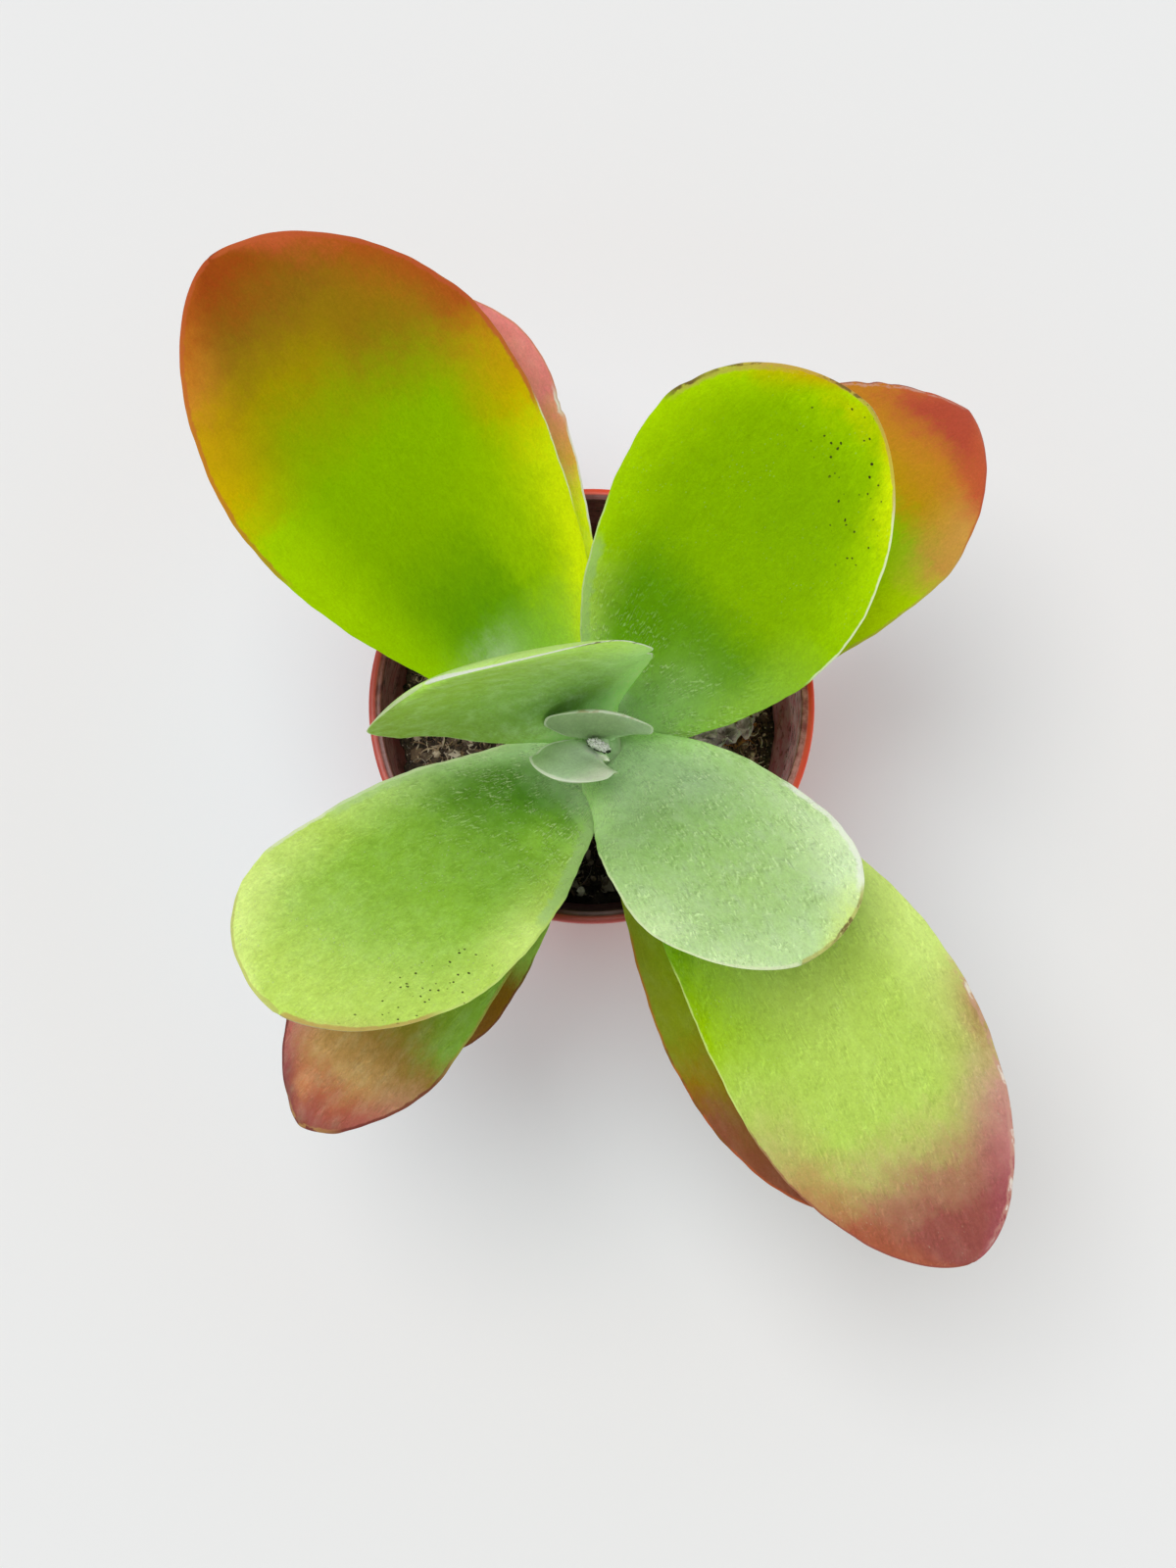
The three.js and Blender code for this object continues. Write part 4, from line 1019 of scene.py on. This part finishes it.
def icosahedron():
    """Its 12 points, on a sphere of radius 1, and its 20 faces."""
    golden = (1 + 5 ** 0.5) / 2
    corners = [((0, a, b), (a, b, 0), (b, 0, a)) for a in (-1, 1) for b in (-golden, golden)]
    points = np.array(corners, float).reshape(12, 3)
    points /= np.linalg.norm(points[0])
    edge = min(np.linalg.norm(points[0] - point) for point in points[1:])
    faces = []
    for i, j, k in combinations(range(12), 3):
        a, b, c = points[[i, j, k]]
        if max(np.linalg.norm(side) for side in (a - b, b - c, c - a)) < edge * 1.01:
            faces.append((i, j, k) if np.cross(b - a, c - a) @ (a + b + c) > 0 else (i, k, j))
    return points, faces


def soil_spot(random, margin):
    """A random place on the soil, clear of the stem."""
    widest = float(inner_radius(SOIL_SURFACE + SOIL_PILE_RISE))
    stem = stem_axis_at(SOIL_SURFACE)
    while True:
        radius = widest * math.sqrt(random.uniform(0, 1))
        angle = random.uniform(0, 2 * math.pi)
        x = radius * math.cos(angle)
        y = radius * math.sin(angle)
        clear = math.hypot(x - stem[0], y - stem[1]) > STEM_SOIL_RADIUS + 1
        if clear and radius < inner_radius(soil_height(x, y)) - margin:
            return x, y


def scatter_crumbs(name, seed, count, sizes, flatness, colors, material_name):
    """One mesh of many angular crumbs, half sunk in the soil, each with a tint of its own."""
    random = np.random.RandomState(seed)
    unit, unit_faces = icosahedron()
    points = []
    tints = []
    for crumb in range(count):
        size = random.uniform(*sizes)
        x, y = soil_spot(random, size * 1.5 + 0.5)
        shape = unit * random.uniform(0.7, 1.25, unit.shape)
        shape = shape * np.array([size * random.uniform(0.9, 1.7), size, size * random.uniform(*flatness)])
        tilt = np.array(Quaternion(random.normal(size=4)).normalized().to_matrix())
        lean = np.eye(3) * 0.6 + tilt * 0.4
        spin = np.array(Matrix.Rotation(random.uniform(0, 2 * math.pi), 3, "Z"))
        points.append(shape @ (lean @ spin).T + (x, y, rough_soil_height(x, y) + size * 0.15))
        tints += [random.uniform(0, 1)] * len(unit)
    faces = (np.arange(count)[:, None, None] * len(unit) + unit_faces).reshape(-1, 3).tolist()
    crumbs = make_mesh(name, np.concatenate(points), faces, {"tint": tints}, smooth_shading=False)
    g = material_graph(material_name)
    own_tint = g.times_plus(g.attribute("tint"), 1.0, -0.2)
    color = g.ramp(g.times_plus(g.noise(1.0, 3), 0.4, own_tint), colors)
    normal = g.bump(g.noise(0.5, 4, 0.7), 0.15, 0.8)
    paint_soil(g, crumbs, color, Roughness=0.8, Normal=normal, Specular_IOR_Level=0.35)
    finish_piece(crumbs, "soil")


def scatter_fibres(name, seed, count, lengths, radii, bend, colors):
    """Bent coir fibres and root hairs, lying in the mix and arching out of it."""
    random = np.random.RandomState(seed)
    sections = 8
    sides = 4
    turns = 2 * np.pi * np.arange(sides)[:, None] / sides
    points = []
    faces = []
    tints = []
    for fibre in range(count):
        length = random.uniform(*lengths)
        x, y = soil_spot(random, 2)
        heading = random.uniform(0, 2 * math.pi)
        turning = random.uniform(-bend, bend)
        thickness = random.uniform(*radii)
        arch = random.uniform(0.0, 0.16) * length
        lean = random.uniform(-0.1, 0.1) * length
        tints += [random.uniform(0, 1)] * sections * sides
        first = fibre * sections * sides
        for share in np.linspace(0, 1, sections):
            angle = heading + turning * (share - 0.5)
            cx = x + (share - 0.5) * length * math.cos(angle)
            cy = y + (share - 0.5) * length * math.sin(angle)
            reach = float(inner_radius(soil_height(cx, cy))) - 0.7
            shrink = min(1.0, reach / max(math.hypot(cx, cy), 1e-6))
            cx *= shrink
            cy *= shrink
            rise = arch * math.sin(math.pi * share) + lean * (share - 0.5)
            middle = np.array([cx, cy, rough_soil_height(cx, cy) + 0.2 + max(rise, -0.3)])
            across = np.array([-math.sin(angle), math.cos(angle), 0.0])
            taper = thickness * (1 - 0.6 * abs(2 * share - 1))
            points.append(middle + (across * np.cos(turns) + np.array([0, 0, 1]) * np.sin(turns)) * taper)
        faces += tube_faces(sections, sides, first)
        faces.append([first + side for side in reversed(range(sides))])
        faces.append([first + (sections - 1) * sides + side for side in range(sides)])
    fibres = make_mesh(name, np.concatenate(points), faces, {"tint": tints})
    g = material_graph(name)
    color = g.brighten(g.ramp(g.attribute("tint"), colors), g.around(g.noise(1.5, 3), 0.9))
    normal = g.bump(g.noise(0.4, 3), 0.05, 0.8)
    paint_soil(g, fibres, color, Roughness=0.6, Normal=normal, Specular_IOR_Level=0.45)
    finish_piece(fibres, "soil")


def add_pebble():
    """A pale stone that lies on the mix at the south wall."""
    x, y = -2.7, -40.4
    points, faces = ellipsoid((1.5, 1.1, 1.0), 18, 28)
    lumps = np.array([[1 + 0.25 * noise.noise(Vector(point) * 0.9)] for point in points])
    pebble = make_mesh("pebble", points * lumps + (x, y, rough_soil_height(x, y) + 0.6), faces)
    g = material_graph("pebble")
    color = g.cover((196, 190, 176), (232, 228, 218), g.noise(0.8, 3), 0.4, 0.6)
    g.paint(pebble, Base_Color=color, Roughness=0.7, Normal=g.bump(g.noise(0.4, 4), 0.1))
    finish_piece(pebble, "soil")


# ---------------------------------------------------------------- stem, bud and dead leaves

def stem_radius_at(height):
    """The stem narrows to its tip, and last of all where the youngest leaves clasp it."""
    share = np.clip((height - SOIL_SURFACE) / (STEM_TOP[2] - SOIL_SURFACE), 0, 1)
    radius = STEM_SOIL_RADIUS + (STEM_TOP_RADIUS - STEM_SOIL_RADIUS) * share ** 1.4
    tapered = smooth((height - STEM_TOP[2]) / STEM_TIP_LENGTH + 1)
    radius = radius - (STEM_TOP_RADIUS - STEM_TIP_RADIUS) * tapered
    for leaf in LEAVES:
        radius = radius + STEM_NODE_SWELL * np.exp(-((height - leaf["height"]) / 1.2) ** 2) * 0.6
    return radius


def add_stem():
    axis = STEM_TOP - STEM_FOOT
    length = float(np.linalg.norm(axis))
    share = np.linspace(0, 1, 140)
    flanks = zip(stem_radius_at(STEM_FOOT[2] + axis[2] * share), length * share)
    dome = [(STEM_TIP_RADIUS * 0.8, length + 0.6), (STEM_TIP_RADIUS * 0.4, length + 1.2), (0, length + 1.4)]
    profile = [(0, 0), *flanks, *dome]
    stem = lathe(profile, 48, "stem.fine")
    place = Vector((0, 0, 1)).rotation_difference(Vector(axis)).to_matrix().to_4x4()
    place.translation = Vector(STEM_FOOT) * MM
    stem.data.transform(place)
    for vertex in stem.data.vertices:
        vertex.co += vertex.normal * noise.fractal(vertex.co * 400, 0.8, 2.0, 3) * 0.25 * MM
    g = material_graph("stem_bark")
    scale = g.noise(2.5, 4)
    rings = g.noise(1.2, 3, 0.6, (1, 1, 3))
    color = g.cover((120, 126, 84), (166, 170, 136), scale, 0.35, 0.65)
    color = g.cover(color, (128, 100, 70), rings, 0.5, 0.7, 0.5)
    # The top is the paler young tip, brightened further with painted light against the shade of the leaves
    # over it.
    young_painted_lit = g.cover((192, 220, 178), (210, 232, 198), scale, 0.4, 0.6)
    color = g.cover(color, young_painted_lit, g.coordinates()[2], 0.112, 0.119)
    g.paint(stem, Base_Color=color, Roughness=0.7, Normal=g.bump(rings, 0.3, 0.7))
    finish_piece(stem, "stem", "stem")


def add_bud():
    """The growing point: a low crinkled crest of new leaf, dusted white and cracked, its foot painted dark as
    crevice shade.
    """
    seat = stem_axis_at(STEM_TOP[2] + 2.4)
    turn = Matrix.Rotation(math.radians(-25), 3, "Z")
    half_height = 2.0
    points, faces = ellipsoid((2.5, 1.15, half_height), 40, 56)
    crests = points[:, 2] / half_height
    placed = []
    for point, crest in zip(points, crests):
        spot = Vector(point)
        crease = 1 + noise.fractal(spot * 1.8, 0.7, 2.0, 4) * 0.35
        frill = noise.noise(spot * 2.6) * 0.7 * max(crest, 0)
        placed.append(np.array(turn @ spot) * (crease, crease, 1) + (0, 0, frill) + seat)
    bud = make_mesh("bud.fine", placed, faces, {"crest": crests})
    g = material_graph("bud_bloom")
    crinkle = g.noise(0.6, 4, 0.7)
    crest = g.times_plus(crinkle, 0.5, g.attribute("crest"))
    cracks = g.math("ABSOLUTE", g.around(g.noise(1.1, 3, 0.6), 1.0, 0.0))
    # Painted shade: the dark green at the foot of the crest stands for the crevice's shade.
    color = g.cover((34, 38, 28), (255, 255, 253), crest, 0.35, 0.6)
    color = g.cover(color, (84, 88, 76), cracks, 0.025, 0.008, 0.7)
    g.paint(bud, Base_Color=color, Roughness=0.75, Normal=g.bump(crinkle, 0.25))
    finish_piece(bud, "bud", "bud")


def crumple(points, t):
    """Shrivels one side of a dry blade: folds that grow towards its margins."""
    result = points.copy()
    for place in np.ndindex(t.shape):
        spot = Vector(points[place])
        fold = noise.fractal(spot * 0.3, 0.8, 2.0, 3) * 3.4 + noise.fractal(spot * 0.9, 0.8, 2.0, 2) * 1.2
        east = noise.noise(spot * 0.5 + Vector((7, 3, 1))) * 1.2
        north = noise.noise(spot * 0.5) * 1.6
        result[place] += (east, north, fold * (0.5 + 0.5 * abs(t[place])))
    return result


def paint_dry(name, blade, dark, light, edge_color, edge_mm):
    """Dead leaf skin: wrinkled and veined lengthwise, with a pale or orange edge."""
    g = blade_graph(name)
    cloud = g.noise(3, 4, 0.65)
    vein = g.noise(1.1, 4, 0.7, (1.6, 0.35, 1))
    worn = g.noise(1.6, 4, 0.7)
    frayed = g.times_plus(cloud, -2 * edge_mm, g.math("ADD", g.attribute("edge_mm"), 0.5 * edge_mm))
    color = g.brighten(g.cover(dark, light, cloud, 0.38, 0.62), g.around(vein, 1.6))
    color = g.cover(color, edge_color, worn, 0.56, 0.62, 0.7)
    color = g.cover(color, edge_color, frayed, edge_mm * 0.3, -edge_mm * 0.1)
    normal = g.bump(vein, 0.3, 0.8, g.bump(g.noise(1.0, 5, 0.7), 0.5, 0.9))
    g.paint(blade, Base_Color=color, Roughness=0.7, Normal=normal, Specular_IOR_Level=0.4)


def add_withered_leaf():
    blade = blade_mesh(WITHERED, "withered_leaf.fine", 90, 40, crumple)
    # Its colours are painted brighter against the deep shade it lies in; its white edge is partly a painted
    # highlight.
    paint_dry("withered_skin", blade, (150, 134, 140), (244, 230, 236), (255, 252, 252), 1.0)
    finish_piece(blade, "withered_leaf", "withered_leaf_7_northeast")


def add_scraps():
    """Scraps of dead leaf and a twig that lie on the soil, each rooted a reach away from the stem."""
    for scrap in SCRAPS:
        blade = blade_mesh(scrap, scrap["name"], 40, 20, crumple)
        paint_dry(scrap["name"], blade, *scrap["skin"])
        finish_piece(blade, "withered_leaf")


# ---------------------------------------------------------------- floor, light and camera

def add_floor():
    side = 6000.0
    points = [[-side, -side, 0], [side, -side, 0], [side, side, 0], [-side, side, 0]]
    floor = make_mesh("floor", points, [(0, 1, 2, 3)])
    g = material_graph("floor_paint")
    # Painted light: near the pot the floor is whiter and bluer, to cancel its shadow and the red light
    # bounced off the pot.
    color = g.cover((238, 248, 252), (236, 237, 237), g.axis_distance(), 0.05, 0.16)
    g.paint(floor, Base_Color=color, Roughness=0.9, Specular_IOR_Level=0.1)


def aim(data, location, direction):
    """A light or a camera that looks in a direction from a place."""
    obj = bpy.data.objects.new(data.name, data)
    obj.location = location
    obj.rotation_euler = Vector(direction).to_track_quat("-Z", "Y").to_euler()
    bpy.context.scene.collection.objects.link(obj)
    return obj


def add_light():
    """A bright studio: its walls are brightest at the horizon, and a broad soft key hangs nearly overhead."""
    horizon_strength = 0.8
    zenith_strength = 0.52
    g = Graph(bpy.data.worlds.new("studio"))
    g.position = g.add("TexCoord")["Generated"]
    fade = g.step(g.coordinates()[2], 0.1, 0.7)
    background = g.nodes["Background"].inputs
    g.feed(background["Strength"], g.times_plus(fade, zenith_strength - horizon_strength, horizon_strength))
    g.feed(background["Color"], (1.0, 1.0, 1.0, 1.0))
    bpy.context.scene.world = g.owner
    key = bpy.data.lights.new("key", "SUN")
    key.energy = 1.4
    key.angle = math.radians(34)
    aim(key, (0, 0, 0), (0.2, -0.1, -1.0))
    bpy.context.scene.view_settings.view_transform = "Standard"


def add_camera():
    """A view from almost straight above, leaning 11 degrees from the south."""
    elevation = math.radians(78.96)
    distance = 520.0
    target = Vector((-0.84, -19.2, POT_HEIGHT))
    focal_pixels = 2338.2
    frame_height_pixels = 1600
    camera = bpy.data.cameras.new("camera")
    camera.sensor_width = 36.0
    camera.lens = focal_pixels / frame_height_pixels * camera.sensor_width
    camera.clip_start = 0.01
    back = Vector((0, -math.cos(elevation), math.sin(elevation)))
    bpy.context.scene.camera = aim(camera, (target + back * distance) * MM, -back)


# ---------------------------------------------------------------- the whole scene

# The pale ends of these soil pigments are painted brighter than the mix is: painted light against the shade
# inside the pot.
DARK_MIX = [(0.0, (22, 16, 13)), (0.6, (96, 76, 62)), (1.0, (236, 214, 190))]
BARK = [(0.0, (44, 34, 28)), (0.5, (160, 132, 106)), (1.0, (250, 236, 216))]
PALE = [(0.0, (180, 166, 146)), (1.0, (238, 230, 216))]
COIR = [(0.0, (104, 78, 58)), (0.4, (190, 156, 120)), (1.0, (255, 242, 220))]
ROOTLETS = [(0.0, (120, 100, 80)), (1.0, (232, 222, 204))]

add_camera()
add_light()
add_floor()
add_pot()
add_soil()
scatter_crumbs("soil_crumbs", 21, 3400, (0.3, 1.3), (0.6, 1.0), DARK_MIX, "soil_crumb")
scatter_crumbs("soil_bark", 22, 800, (0.7, 2.2), (0.15, 0.35), BARK, "bark_chip")
scatter_crumbs("soil_grains", 23, 200, (0.25, 0.6), (0.7, 1.0), PALE, "pale_grain")
scatter_fibres("soil_fibres", 24, 1700, (1.5, 5.5), (0.12, 0.3), 4.0, COIR)
scatter_fibres("soil_rootlets", 25, 220, (3, 9), (0.05, 0.1), 2.4, ROOTLETS)
add_stem()
add_bud()
add_withered_leaf()
add_scraps()
add_pebble()
for LEAF in LEAVES:
    add_leaf(LEAF)
